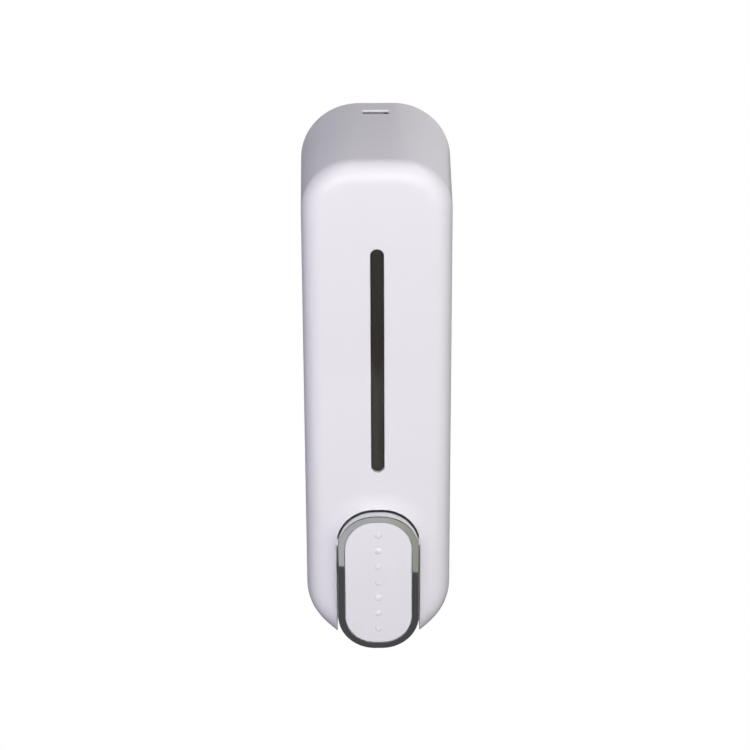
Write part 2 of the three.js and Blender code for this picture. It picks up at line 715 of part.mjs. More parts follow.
const PUMP_BOSS_Y = -(BARREL_REAR_Y - 2.5 - GAP);
const WALL_SCREWS = [-1, 1].flatMap((side) => [
  [(side * WALL_SCREW_SPACING_X) / 2, TOP - WALL_SCREW_TOP],
  [(side * WALL_SCREW_SPACING_X) / 2, BASE + WALL_SCREW_BOTTOM],
]);
const HOOK_Z = TANK_RIM - 40;

function plateShell() {
  const outline = (y, inset) =>
    ring(
      y,
      PLATE_HALF - inset,
      PLATE_BASE + inset,
      PLATE_TOP - inset,
      PLATE_BOTTOM_CORNER - inset,
      PLATE_TOP_CORNER - inset,
    );
  const tray = loft([outline(0, 0), outline(-PLATE_RIM_DEPTH, 0)]);
  const inside = loft([outline(-PLATE_THICKNESS, PLATE_RIM), outline(-PLATE_RIM_DEPTH - 1, PLATE_RIM)]);
  // The rim is left off at the bottom, where the cover swings past.
  const low = box(-60, 60, -PLATE_THICKNESS, -PLATE_RIM_DEPTH - 1, BASE - 5, BASE + 32);
  const latchHalf = LATCH_STEM_WIDTH / 2 + RUN;
  const latchWay = box(
    -latchHalf,
    latchHalf,
    -PLATE_THICKNESS,
    -PLATE_RIM_DEPTH - 1,
    KEEPER_TOP,
    PLATE_TOP + 1,
  );
  return cut(tray, inside, low, latchWay);
}

function shelf() {
  const half = TANK_HALF - 2;
  const front = -(INLET_Y + 14);
  const slab = box(-half, half, -PLATE_THICKNESS + 0.5, front, SHELF_TOP - SHELF_THICKNESS, SHELF_TOP);
  const gussets = [-1, 1].map((side) => {
    const shape = new THREE.Shape();
    shape.moveTo(PLATE_THICKNESS - 0.5, SHELF_TOP - 1);
    shape.lineTo(PLATE_THICKNESS - 0.5, SHELF_TOP - 22);
    shape.lineTo(-front - 4, SHELF_TOP - SHELF_THICKNESS + 0.5);
    shape.lineTo(-front - 4, SHELF_TOP - 1);
    const web = new THREE.ExtrudeGeometry(shape, { depth: 2, bevelEnabled: false });
    // The shape lies in y and z, and is as thick as its depth along x.
    web.applyMatrix4(new THREE.Matrix4().set(0, 0, 1, 0, -1, 0, 0, 0, 0, 1, 0, 0, 0, 0, 0, 1));
    return solid(web.translate(side * (half - 4) - 1, 0, 0));
  });
  const spigotHole = barZ(SPIGOT_RADIUS + 0.8, 0, -INLET_Y, SHELF_TOP - 10, SHELF_TOP + 1);
  return cut(join(slab, ...gussets), spigotHole);
}

function latchHousing() {
  const rails = [-1, 1].map((side) =>
    box(
      side * (LATCH_STEM_WIDTH / 2 + RUN),
      side * RAIL_OUTER,
      -PLATE_THICKNESS + 0.5,
      LATCH_FRONT_Y - RUN + GAP,
      KEEPER_BASE,
      KEEPER_TOP,
    ),
  );
  const ledge = box(-5, 5, -PLATE_THICKNESS + 0.5, LATCH_FRONT_Y, LATCH_LEDGE - 2, LATCH_LEDGE);
  return join(ledge, ...rails);
}

function hookBracket(side) {
  const x = side * HOOK_X;
  const bracket = box(x - 4.4, x + 4.4, -PLATE_THICKNESS + 0.5, -8.8, HOOK_Z - 8, HOOK_Z);
  const pocket = box(x - 2.8, x + 2.8, -PLATE_THICKNESS - 0.2, -7.1, HOOK_Z - 10, HOOK_Z + 2);
  return cut(bracket, pocket);
}

function hingeLug() {
  const half = HINGE_LUG_WIDTH / 2;
  const barrel = barX(HINGE_BARREL_RADIUS, -HINGE_Y, HINGE_Z, -half, half);
  const top = HINGE_Z + HINGE_BARREL_RADIUS;
  const arm = box(-half, half, -PLATE_THICKNESS + 0.5, -HINGE_Y, HINGE_Z, top);
  const root = box(-half, half, 0, -PLATE_THICKNESS - 1, HINGE_Z, PLATE_BASE + 6);
  const pinHole = barX(HINGE_PIN_RADIUS + 0.1, -HINGE_Y, HINGE_Z, -half - 1, half + 1);
  return cut(join(barrel, arm, root), pinHole);
}

function backPlate() {
  const seats = WALL_SCREWS.map(([x, z]) => barY(SCREW_SEAT_RADIUS, x, z, -PLATE_THICKNESS + 0.5, -3.5, 24));
  const screwHoles = WALL_SCREWS.map(([x, z]) => barY(WALL_SCREW_RADIUS, x, z, 1, -9, 20));
  const bosses = [-1, 1].map((side) =>
    barY(3.4, side * PUMP_SCREW_X, PUMP_Z, -PLATE_THICKNESS + 0.5, PUMP_BOSS_Y, 20),
  );
  const pilots = [-1, 1].map((side) =>
    barY(1.4 + GAP, side * PUMP_SCREW_X, PUMP_Z, -PLATE_THICKNESS, PUMP_BOSS_Y - 1, 12),
  );
  const keeperPilots = [-1, 1].map((side) =>
    barY(0.9, side * KEEPER_SCREW_X, KEEPER_SCREW_Z, -PLATE_THICKNESS + 1, LATCH_FRONT_Y - 1, 12),
  );
  const rests = [-1, 1].map((side) =>
    box(
      side * 9,
      side * 11,
      -PLATE_THICKNESS + 0.5,
      -TANK_REAR_Y + GAP,
      SHELF_TOP - 1,
      HOOK_Z - 20,
    ),
  );
  const body = join(
    plateShell(),
    shelf(),
    latchHousing(),
    hookBracket(-1),
    hookBracket(1),
    hingeLug(),
    ...seats,
    ...bosses,
    ...rests,
  );
  return cut(body, ...screwHoles, ...pilots, ...keeperPilots);
}

function hingePin() {
  return barX(HINGE_PIN_RADIUS, -HINGE_Y, HINGE_Z, -PIN_REACH, PIN_REACH, 20);
}

// ---------------------------------------------------------------- latch

function latchTongue() {
  const half = LATCH_STEM_WIDTH / 2;
  const noseHalf = KEY_WIDTH / 2 - GAP;
  const stem = box(-half, half, LATCH_REAR_Y, LATCH_FRONT_Y, STEM_BASE, STEM_TOP);
  const arm = box(-noseHalf, noseHalf, LATCH_REAR_Y, -KEY_FRONT + GAP, STEM_TOP - 2, NOSE_TOP - 1.6);
  const nose = box(-noseHalf, noseHalf, -KEY_REAR + 1.5, -KEY_FRONT + GAP, NOSE_TOP - 3, NOSE_TOP);
  return join(stem, arm, nose);
}

function latchKeeper() {
  const plate = box(
    -RAIL_OUTER,
    RAIL_OUTER,
    LATCH_FRONT_Y - RUN,
    KEEPER_FRONT_Y,
    KEEPER_BASE,
    KEEPER_TOP,
  );
  const holes = [-1, 1].map((side) =>
    barY(0.9, side * KEEPER_SCREW_X, KEEPER_SCREW_Z, LATCH_FRONT_Y + 1, KEEPER_FRONT_Y - 1, 12),
  );
  return cut(plate, ...holes);
}

// ---------------------------------------------------------------- tank

function tankBox(inset, bottom, top, growth = 0) {
  const half = TANK_HALF - inset + growth;
  const front = TANK_FRONT_Y + inset - growth;
  const rear = -TANK_REAR_Y - inset + growth;
  const corner = TANK_CORNER - inset + growth;
  const shape = new THREE.Shape();
  shape.absarc(half - corner, rear - corner, corner, 0, Math.PI / 2);
  shape.absarc(-half + corner, rear - corner, corner, Math.PI / 2, Math.PI);
  shape.absarc(-half + corner, front + corner, corner, Math.PI, 1.5 * Math.PI);
  shape.absarc(half - corner, front + corner, corner, 1.5 * Math.PI, 2 * Math.PI);
  const geometry = new THREE.ExtrudeGeometry(shape, {
    depth: top - bottom,
    bevelEnabled: false,
    curveSegments: 3,
  });
  return solid(geometry.translate(0, 0, bottom));
}

function tankHook(side) {
  const x = side * HOOK_X;
  return join(
    box(x - 2.3, x + 2.3, -TANK_REAR_Y - 0.5, -PLATE_THICKNESS - 2.2, HOOK_Z + GAP, HOOK_Z + 4.3),
    box(x - 2.3, x + 2.3, -6.7, -PLATE_THICKNESS - 2.2, HOOK_Z - 6, HOOK_Z + 4.3),
  );
}

function soapTank() {
  const outer = tankBox(0, TANK_BASE, TANK_RIM);
  const rim = tankBox(0, TANK_RIM - 2, TANK_RIM, RIM_FLANGE);
  const inside = tankBox(TANK_WALL, TANK_BASE + TANK_WALL, TANK_RIM + 1);
  const spigot = barZ(SPIGOT_RADIUS, 0, -INLET_Y, SPIGOT_BASE, TANK_BASE + 0.5);
  const outlet = barZ(SPIGOT_RADIUS - 2, 0, -INLET_Y, SPIGOT_BASE - 1, TANK_BASE + TANK_WALL + 1);
  return cut(join(outer, rim, spigot, tankHook(-1), tankHook(1)), inside, outlet);
}

function tankLid() {
  const plate = tankBox(0, TANK_RIM + GAP, TANK_RIM + GAP + LID_THICKNESS, RIM_FLANGE);
  const skirt = tankBox(TANK_WALL + 2, TANK_RIM - LID_SKIRT, TANK_RIM + GAP + 0.5);
  const hollow = tankBox(TANK_WALL + 3.6, TANK_RIM - LID_SKIRT - 1, TANK_RIM + GAP);
  const middleY = (TANK_FRONT_Y - TANK_REAR_Y) / 2;
  const grip = join(
    box(-11, 11, middleY - 1.5, middleY + 1.5, TANK_RIM + LID_THICKNESS, TANK_RIM + LID_THICKNESS + 8),
    barY(11, 0, TANK_RIM + LID_THICKNESS + 0.6, middleY - 1.5, middleY + 1.5).intersect(
      box(-12, 12, middleY - 3, middleY + 3, TANK_RIM + LID_THICKNESS, TANK_RIM + LID_THICKNESS + 9),
    ),
  );
  const vent = barZ(1, 0, middleY - 14, TANK_RIM - 8, TANK_RIM + 8, 12);
  return cut(join(plate, cut(skirt, hollow), grip), vent);
}

function lidSeal() {
  const top = TANK_RIM - 1.2;
  return cut(
    tankBox(TANK_WALL + GAP, top - 2, top),
    tankBox(TANK_WALL + 2 - GAP, top - 3, top + 1),
  );
}

function outletSeal() {
  const inner = SPIGOT_RADIUS + GAP;
  const outer = CUP_INNER - GAP;
  const z = SPIGOT_BASE + 4;
  return turned(
    [
      [inner, z],
      [outer, z],
      [outer, z + 0.8],
      [outer - 0.25, z + 1.5],
      [outer, z + 2.2],
      [outer, z + 3],
      [inner, z + 3],
      [inner, z],
    ],
    24,
  );
}

// ---------------------------------------------------------------- pump

const NIPPLE_BASE = PUMP_Z - BARREL_RADIUS - 6;

function pumpBarrel() {
  const tube = barY(BARREL_RADIUS, 0, PUMP_Z, -BARREL_REAR_Y, BARREL_FRONT_Y);
  const foot = pill(
    -BARREL_REAR_Y,
    -(BARREL_REAR_Y - 2.5),
    PUMP_SCREW_X + 4,
    PUMP_Z - 9,
    PUMP_Z + 9,
    4,
  );
  const cup = barZ(CUP_RADIUS, 0, -INLET_Y, PUMP_Z, CUP_TOP);
  const cupBore = barZ(CUP_INNER, 0, -INLET_Y, CUP_FLOOR, CUP_TOP + 1);
  const nipple = barZ(NIPPLE_RADIUS, 0, -PUMP_PORT_Y, NIPPLE_BASE, PUMP_Z);
  const nippleBore = barZ(NIPPLE_BORE, 0, -PUMP_PORT_Y, NIPPLE_BASE - 1, PUMP_Z - BARREL_RADIUS + 0.5);
  const bore = barY(BORE_RADIUS, 0, PUMP_Z, -(BARREL_REAR_Y + 2), BARREL_FRONT_Y - 1);
  const ports = barZ(PORT_RADIUS, 0, -PUMP_PORT_Y, NIPPLE_BASE, CUP_FLOOR + 1, 16);
  const holes = [-1, 1].map((side) =>
    barY(1.4 + GAP, side * PUMP_SCREW_X, PUMP_Z, -BARREL_REAR_Y - 1, -(BARREL_REAR_Y - 4), 12),
  );
  return cut(join(tube, foot, cup, nipple), cupBore, nippleBore, bore, ports, ...holes);
}

function pumpGland() {
  const outer = BARREL_RADIUS + GAP + 1.8;
  const skirtEnd = BARREL_FRONT_Y + 3;
  const cap = barY(outer, 0, PUMP_Z, GLAND_FRONT_Y, skirtEnd, 12);
  const socket = barY(BARREL_RADIUS + GAP, 0, PUMP_Z, BARREL_FRONT_Y - GAP, skirtEnd + 1);
  const rodHole = barY(ROD_RADIUS + RUN, 0, PUMP_Z, GLAND_FRONT_Y - 1, BARREL_FRONT_Y);
  return cut(cap, socket, rodHole);
}

// A thin flap that covers the inlet port from above.
function inletValve() {
  const z = CUP_FLOOR + GAP;
  return join(
    barZ(3.6, 0, -PUMP_PORT_Y, z, z + 0.8, 20),
    box(-1.5, 1.5, -PUMP_PORT_Y, -INLET_Y - 3, z, z + 0.8),
    barZ(2.2, 0, -INLET_Y - 3, z, z + 1.6, 16),
  );
}

// A duckbill: a round flange that narrows to a lip with a slit.
function outletValve() {
  const top = PUMP_Z - BARREL_RADIUS + 0.5 - GAP;
  const radius = NIPPLE_BORE - GAP;
  const body = turned(
    [
      [0, top],
      [radius, top],
      [radius, top - 1.2],
      [radius - 0.7, top - 1.5],
      [0.9, top - 5],
      [0, top - 5],
    ].reverse(),
    20,
  );
  return cut(body, box(-0.15, 0.15, -1.2, 1.2, top - 6, top + 1));
}

const SPOUT_END = BASE - NOZZLE_BELOW_BASE + 2;

function spout() {
  const socketTop = PUMP_Z - BARREL_RADIUS - 1;
  const socketFloor = NIPPLE_BASE - GAP;
  const start = socketFloor - 1.5;
  const drop = start - SPOUT_END;
  const path = new THREE.CatmullRomCurve3(
    [
      [PUMP_PORT_Y, start],
      [PUMP_PORT_Y + 2, start - 0.17 * drop],
      [(PUMP_PORT_Y + SPOUT_Y) / 2, start - 0.34 * drop],
      [SPOUT_Y - 2.5, start - 0.46 * drop],
      [SPOUT_Y, start - 0.68 * drop],
      [SPOUT_Y, SPOUT_END],
    ].map(([y, z]) => new THREE.Vector3(0, -y, z)),
  );
  const socket = barZ(NIPPLE_RADIUS + GAP + 1.7, 0, -PUMP_PORT_Y, start - 1, socketTop);
  const socketBore = barZ(NIPPLE_RADIUS + GAP, 0, -PUMP_PORT_Y, socketFloor, socketTop + 1);
  const tube = rod(path, SPOUT_BORE + SPOUT_WALL, 12, 12);
  const bore = rod(path, SPOUT_BORE, 12, 10);
  const mouths = join(
    barZ(SPOUT_BORE, 0, -PUMP_PORT_Y, start - 0.8, socketFloor + 1, 10),
    barZ(SPOUT_BORE, 0, -SPOUT_Y, SPOUT_END - 1, SPOUT_END + 0.8, 10),
  );
  return cut(join(socket, tube), socketBore, bore, mouths);
}

// A soft tip that slips over the end of the spout.
function nozzleTip() {
  const inner = SPOUT_BORE + SPOUT_WALL + GAP;
  const bottom = BASE - NOZZLE_BELOW_BASE;
  return turned(
    [
      [SPOUT_BORE, bottom],
      [inner + 0.2, bottom],
      [inner + 1.4, bottom + 2.5],
      [inner + 1.4, SPOUT_END + 4],
      [inner, SPOUT_END + 4],
      [inner, SPOUT_END - GAP],
      [SPOUT_BORE, SPOUT_END - GAP],
      [SPOUT_BORE, bottom],
    ],
    24,
  );
}

const PISTON_REAR_Y = BARREL_FRONT_Y + 1 + PISTON_LENGTH;
const SEAL_Y = PISTON_REAR_Y - 4.4; // front of the seal's groove

function plunger() {
  const headRear = PLUNGER_FRONT_Y + PLUNGER_HEAD_THICKNESS;
  const head = barY(PLUNGER_HEAD_RADIUS, 0, PUMP_Z, PLUNGER_FRONT_Y, headRear);
  const stem = barY(ROD_RADIUS, 0, PUMP_Z, PLUNGER_FRONT_Y + 1, PISTON_REAR_Y - 1, 24);
  const piston = barY(BORE_RADIUS - RUN, 0, PUMP_Z, PISTON_REAR_Y - PISTON_LENGTH, PISTON_REAR_Y);
  const groove = cut(
    barY(BORE_RADIUS + 1, 0, PUMP_Z, SEAL_Y, SEAL_Y + SEAL_LENGTH),
    barY(BORE_RADIUS - 2.2, 0, PUMP_Z, SEAL_Y - 1, SEAL_Y + SEAL_LENGTH + 1),
  );
  return cut(join(head, stem, piston), groove);
}

function pistonSeal() {
  const inner = BORE_RADIUS - 2.2 + GAP;
  const outer = BORE_RADIUS - 0.1;
  const length = SEAL_LENGTH - 2 * GAP;
  return turned(
    [
      [inner, 0],
      [outer - 0.5, 0],
      [outer, length * 0.3],
      [outer - 0.3, length * 0.5],
      [outer, length * 0.7],
      [outer - 0.5, length],
      [inner, length],
      [inner, 0],
    ],
    24,
  );
}

const SPRING_FRONT_Y = PLUNGER_FRONT_Y + PLUNGER_HEAD_THICKNESS + GAP;
const SPRING_LENGTH = GLAND_FRONT_Y - GAP - SPRING_FRONT_Y;

// ---------------------------------------------------------------- screws

const REARWARD = -Math.PI / 2; // turns +Z towards the wall
const FORWARD = Math.PI / 2;

// A screw driven from inside the casing towards the front: its head is at the rear.
function addForwardScrew(group, name, x, y, z, length) {
  add(group, name, panScrew(THREAD_RADIUS, length, 2.4), "steel", [x, y, z], FORWARD);
}

function addScrews() {
  LENS_SCREWS.forEach((z, i) => {
    addForwardScrew(cover, "lens_screw_" + (i + 1), 0, FRAME_REAR_Y + GAP, z, 4.2);
  });
  GUIDE_SCREWS.forEach(([x, z], i) => {
    addForwardScrew(cover, "guide_screw_" + (i + 1), x, EAR_BOSS_Y + 2 * GAP + 2, z, 5.6);
  });
  CARRIER_SCREWS.forEach((z, i) => {
    const under = CARRIER_FRONT_Y + CARRIER_PLATE + GAP;
    addForwardScrew(button, "carrier_screw_" + (i + 1), 0, under, z, CARRIER_PLATE + 2.4);
  });
  [-1, 1].forEach((side, i) => {
    const hand = ["left", "right"][i];
    const pumpPlace = [side * PUMP_SCREW_X, -BARREL_REAR_Y - GAP, PUMP_Z];
    const keeperPlace = [side * KEEPER_SCREW_X, KEEPER_FRONT_Y - GAP, KEEPER_SCREW_Z];
    add(wallUnit, "pump_screw_" + hand, panScrew(1.4, 12, 3, 2), "steel", pumpPlace, REARWARD);
    add(wallUnit, "keeper_screw_" + hand, panScrew(0.6, 4.5, 1.4, 0.8), "steel", keeperPlace, REARWARD);
  });
}

// ---------------------------------------------------------------- assembly

const returnCoil = coil(ROD_RADIUS + 2, SPRING_WIRE, SPRING_LENGTH, SPRING_TURNS);
const latchCoil = coil(1.3, 0.6, LATCH_SPRING_LENGTH, 6);
const latchCoilPlace = [0, (LATCH_REAR_Y + LATCH_FRONT_Y) / 2, LATCH_LEDGE + GAP];

add(cover, "front_cover", frontCover(), "glossWhite");
add(cover, "window_lens", windowLens(), "smoked");
add(cover, "lens_frame", lensFrame(), "mattWhite");
add(cover, "button_guide", buttonGuide(), "mattWhite");
add(button, "button_bezel", buttonBezel(), "chrome");
add(button, "button_pad", buttonPad(), "glossWhite");
add(button, "button_carrier", buttonCarrier(), "grey");
add(wallUnit, "back_plate", backPlate(), "mattWhite");
add(wallUnit, "hinge_pin", hingePin(), "steel");
add(latch, "latch_tongue", latchTongue(), "mattWhite");
add(wallUnit, "latch_keeper", latchKeeper(), "mattWhite");
add(wallUnit, "latch_spring", latchCoil, "steel", latchCoilPlace);
add(wallUnit, "soap_tank", soapTank(), "clear");
add(lid, "tank_lid", tankLid(), "clear");
add(lid, "lid_seal", lidSeal(), "rubber");
add(wallUnit, "outlet_seal", outletSeal(), "rubber", [0, -INLET_Y, 0]);
add(wallUnit, "pump_barrel", pumpBarrel(), "grey");
add(wallUnit, "pump_gland", pumpGland(), "grey");
add(wallUnit, "inlet_valve", inletValve(), "rubber");
add(wallUnit, "outlet_valve", outletValve(), "rubber", [0, -PUMP_PORT_Y, 0]);
add(wallUnit, "spout", spout(), "grey");
add(wallUnit, "nozzle_tip", nozzleTip(), "rubber", [0, -SPOUT_Y, 0]);
add(piston, "plunger", plunger(), "mattWhite");
add(piston, "piston_seal", pistonSeal(), "rubber", [0, SEAL_Y + GAP, PUMP_Z], REARWARD);
add(wallUnit, "return_spring", returnCoil, "steel", [0, SPRING_FRONT_Y, PUMP_Z], REARWARD);
addScrews();

export default part;
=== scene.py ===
# %% [markdown]
# # A wall mounted soap dispenser, piece by piece
#
# The dispenser is a white box on a wall: a hinged cover with a level window, a chromed push button, and behind
# them a tank, a pump and a back plate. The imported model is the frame: it says where every piece is and how it
# moves. Each visible piece is made again here, finer, in the same place. Everything is in metres.

# %% The frame
import json
import math

import bmesh
import bpy
from mathutils import Matrix, Vector
from mathutils.geometry import delaunay_2d_cdt


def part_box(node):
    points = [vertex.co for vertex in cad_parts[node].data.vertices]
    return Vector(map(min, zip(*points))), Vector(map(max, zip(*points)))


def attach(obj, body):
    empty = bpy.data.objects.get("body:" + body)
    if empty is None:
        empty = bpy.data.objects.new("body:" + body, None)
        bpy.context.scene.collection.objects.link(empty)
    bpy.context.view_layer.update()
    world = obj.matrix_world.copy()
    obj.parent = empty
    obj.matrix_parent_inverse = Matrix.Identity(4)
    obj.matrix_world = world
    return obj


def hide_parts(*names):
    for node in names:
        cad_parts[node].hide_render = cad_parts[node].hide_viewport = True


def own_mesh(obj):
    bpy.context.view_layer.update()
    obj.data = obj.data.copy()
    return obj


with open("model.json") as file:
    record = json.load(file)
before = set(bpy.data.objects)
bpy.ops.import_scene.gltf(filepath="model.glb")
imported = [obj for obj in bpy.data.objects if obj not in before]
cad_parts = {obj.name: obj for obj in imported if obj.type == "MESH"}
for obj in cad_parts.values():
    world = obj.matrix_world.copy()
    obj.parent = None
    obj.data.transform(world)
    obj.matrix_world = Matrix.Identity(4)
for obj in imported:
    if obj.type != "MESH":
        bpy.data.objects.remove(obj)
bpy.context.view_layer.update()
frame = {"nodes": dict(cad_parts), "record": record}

MM = 0.001
SLOTS = {part["node"]: part["material_slot"] for part in frame["record"]["subparts"]}
BODIES = {node: body for body, nodes in frame["record"]["behaviour"]["bodies"].items() for node in nodes}
print(f"{len(SLOTS)} nodes on {len(set(BODIES.values()))} bodies")

# %% [markdown]
# ## Finishes
#
# Moulded plastic is never perfectly even: its gloss drifts a little over a hand's width and its skin has a very
# fine grain. A flat colour would look like paper. So every finish takes its roughness from a slow noise and its
# normal from a fast, shallow one. Both read Object coordinates, which are metres on every piece here, so the
# grain has the same size everywhere. The constant values sit on the shader itself.

# %% A node helper and the colours
def linear(code):
    """A colour written #rrggbb, as the linear values in which light is worked out."""
    channels = [int(code[i:i + 2], 16) / 255 for i in (1, 3, 5)]
    return [c / 12.92 if c <= 0.04045 else ((c + 0.055) / 1.055) ** 2.4 for c in channels] + [1.0]


def add_node(tree, kind, inputs=None, **settings):
    """A node of that kind, with its settings and the values of its sockets."""
    node = tree.nodes.new(kind)
    for name, value in settings.items():
        setattr(node, name, value)
    for name, value in (inputs or {}).items():
        node.inputs[name].default_value = value
    return node


def per(size):
    """The scale of a noise whose blotches are that many millimetres across."""
    return 1 / (size * MM)


HAND = 45.0  # mm, the width over which a moulding's gloss drifts
TINT_FROM, TINT_TO = 0.35, 0.65  # the noise values between which the colour drifts
GLOSS_FROM, GLOSS_TO = 0.3, 0.7  # and those between which the roughness does
MIX_A, MIX_B, MIX_RESULT = 6, 7, 2  # a Mix node's colour sockets, which share their names with other kinds


def finish(name, colour, shade, roughness, drift=0.03, grain=0.7, depth=4e-6, **sockets):
    """A finish: a colour that drifts to a shade of it, a roughness that drifts, and a grain in millimetres."""
    material = bpy.data.materials.new(name)
    material.use_nodes = True
    tree = material.node_tree
    shader = tree.nodes["Principled BSDF"]
    for socket, value in sockets.items():
        shader.inputs[socket.replace("_", " ")].default_value = value
    place = add_node(tree, "ShaderNodeTexCoord")
    slow = add_node(tree, "ShaderNodeTexNoise", {"Scale": per(HAND), "Detail": 2.0})
    share = add_node(tree, "ShaderNodeMapRange", {"From Min": TINT_FROM, "From Max": TINT_TO})
    tint = add_node(tree, "ShaderNodeMix", data_type="RGBA")
    tint.inputs[MIX_A].default_value = linear(colour)
    tint.inputs[MIX_B].default_value = linear(shade)
    span = add_node(tree, "ShaderNodeMapRange", {
        "From Min": GLOSS_FROM, "From Max": GLOSS_TO,
        "To Min": roughness - drift, "To Max": roughness + drift})
    fast = add_node(tree, "ShaderNodeTexNoise", {"Scale": per(grain), "Detail": 3.0})
    bump = add_node(tree, "ShaderNodeBump", {"Strength": 0.5, "Distance": depth})
    for noise in (slow, fast):
        tree.links.new(place.outputs["Object"], noise.inputs["Vector"])
    tree.links.new(slow.outputs["Fac"], share.inputs["Value"])
    tree.links.new(share.outputs["Result"], tint.inputs[0])
    tree.links.new(tint.outputs[MIX_RESULT], shader.inputs["Base Color"])
    tree.links.new(slow.outputs["Fac"], span.inputs["Value"])
    tree.links.new(span.outputs["Result"], shader.inputs["Roughness"])
    tree.links.new(fast.outputs["Fac"], bump.inputs["Height"])
    tree.links.new(bump.outputs["Normal"], shader.inputs["Normal"])
    return material


print(f"a noise for gloss has scale {per(HAND):.1f}, one for grain {per(0.7):.0f}")

# %% The plastics that are seen from outside
FINISHES = {}

# Gloss ABS, injection moulded in a polished tool. The polish gives sharp but not mirror-like highlights. What is
# left of it is a faint orange peel, about 0.7 mm from crest to crest and a few thousandths of a millimetre deep.
FINISHES["gloss_white_abs"] = finish(
    "gloss white ABS, moulded", "#f1edf5", "#f0edf4", 0.2, Coat_Weight=0.15, Coat_Roughness=0.08)

# Chrome, electroplated on ABS: copper, nickel, then chromium. It mirrors the room with hardly any blur, and
# shows the moulding under it as a very shallow waviness.
FINISHES["chromed_abs"] = finish(
    "bright chrome, plated on ABS", "#e4e6e5", "#dfe1e1", 0.035, drift=0.01, depth=6e-7, Metallic=1.0)

# Smoked acrylic, moulded and polished. Its colour is so deep that only its surface is seen, with a clear
# highlight and next to no texture. The colour here is partly its own deep smoked tint and partly painted
# reflection: it is set lighter than that tint, to stand in for the pale room that the strip would mirror.
FINISHES["smoked_lens"] = finish(
    "smoked acrylic, polished", "#35312d", "#383430", 0.12, depth=1e-6, Coat_Weight=0.15)
print("outside:", ", ".join(FINISHES))

# %% The plastics, rubber and steel inside
# Satin ABS, moulded in a spark-eroded tool. The erosion leaves pits of about 0.45 mm, which break the highlight
# up into a soft sheen.
FINISHES["matt_white_abs"] = finish(
    "satin white ABS, spark textured", "#e2e1e6", "#dddce1", 0.5, grain=0.45, depth=9e-6)

# Natural polypropylene, blow moulded. It lets light through but blurs it, and its skin is slightly waxy.
FINISHES["clear_polypropylene"] = finish(
    "natural polypropylene, blow moulded", "#eaedec", "#e5e9e8", 0.3, depth=6e-6,
    Transmission_Weight=0.6, IOR=1.49)

# Acetal, moulded. A slippery crystalline plastic for things that slide: even grey, waxy and half matt.
FINISHES["grey_acetal"] = finish("grey acetal, moulded", "#a9abaf", "#a3a5a9", 0.42, grain=0.55, depth=7e-6)

# Silicone rubber, pressed in a matt tool. It scatters nearly all light, with a fine dusty grain of 0.4 mm.
FINISHES["silicone"] = finish(
    "grey silicone rubber, pressed", "#5a5c61", "#55575c", 0.6, grain=0.4, depth=9e-6)

# Stainless steel, cold drawn into wire. Drawing leaves it bright, with fine unevenness in its gloss.
FINISHES["stainless_steel"] = finish(
    "stainless steel, cold drawn", "#c3c5c6", "#b8babc", 0.24, drift=0.06, depth=3e-6, Metallic=1.0)
print("all finishes:", ", ".join(material.name for material in FINISHES.values()))

# %% [markdown]
# ## Making and finishing a mesh
#
# A mesh made by formula comes out as loose rings and faces. Three jobs turn it into a moulded piece: points that
# coincide are welded, faces are turned outwards, and edges sharper than a chosen angle are marked, so that the
# rest shades smoothly. Modifiers are turned into plain mesh before a piece joins its body, because the frame
# keeps pieces as they are.

# %% From points to a piece
WELD = 2e-6  # m: points nearer than this are one point
NO_LENGTH = 1e-7  # m: an edge shorter than this is no edge


def new_object(name, data):
    """An object in the scene, named without spaces."""
    made = bpy.data.objects.new(name.replace(" ", "_"), data)
    bpy.context.scene.collection.objects.link(made)
    return made


def mesh_piece(name, points, faces):
    """A mesh from points and from faces that say which points they join."""
    data = bpy.data.meshes.new(name)
    data.from_pydata([tuple(point) for point in points], [], faces)
    return new_object(name, data)


def settle(piece):
    """Turns a piece and its modifiers into a plain mesh."""
    bpy.context.view_layer.update()
    seen = piece.evaluated_get(bpy.context.evaluated_depsgraph_get())
    shape = bpy.data.meshes.new_from_object(seen)
    if piece.type == "MESH":
        piece.modifiers.clear()
        piece.data = shape
        return piece
    name = piece.name
    bpy.data.objects.remove(piece)
    return new_object(name, shape)


def polish(piece, sharp=32.0):
    """Welds, turns the faces outwards, and shades smooth up to the sharp angle in degrees."""
    shape = bmesh.new()
    shape.from_mesh(piece.data)
    bmesh.ops.remove_doubles(shape, verts=shape.verts, dist=WELD)
    bmesh.ops.dissolve_degenerate(shape, edges=shape.edges, dist=NO_LENGTH)
    bmesh.ops.recalc_face_normals(shape, faces=shape.faces)
    for face in shape.faces:
        face.smooth = True
    for edge in shape.edges:
        edge.smooth = len(edge.link_faces) == 2 and edge.calc_face_angle(0) < math.radians(sharp)
    shape.to_mesh(piece.data)
    shape.free()
    return piece


print(f"points within {WELD / MM:.3f} mm are welded")

# %% Cutting, joining and taking a node's place
def carve(piece, tool, operation="DIFFERENCE"):
    """Cuts the tool from the piece, or joins it on, and throws the tool away."""
    cutter = piece.modifiers.new("carve", "BOOLEAN")
    cutter.solver = "MANIFOLD"
    cutter.operation = operation
    cutter.object = tool
    settle(piece)
    bpy.data.objects.remove(tool)
    return piece


def fit(piece, *nodes):
    """The piece takes the place, body, slot and finish of these nodes."""
    slot = SLOTS[nodes[0]]
    piece.data.materials.clear()
    piece.data.materials.append(FINISHES[slot])
    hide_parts(*nodes)
    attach(piece, BODIES[nodes[0]])
    print(f"{piece.name}: {len(piece.data.polygons)} faces for {', '.join(nodes)}")
    return piece


print("slots to fill:", ", ".join(sorted(set(SLOTS.values()))))

# %% [markdown]
# ## Outlines
#
# The cover, the button, the window and the tank are all rounded rectangles at many depths. One function gives
# such an outline, and another joins outlines into a solid. An outline is half its width, its low and high ends,
# and the radii of its low and high corners.

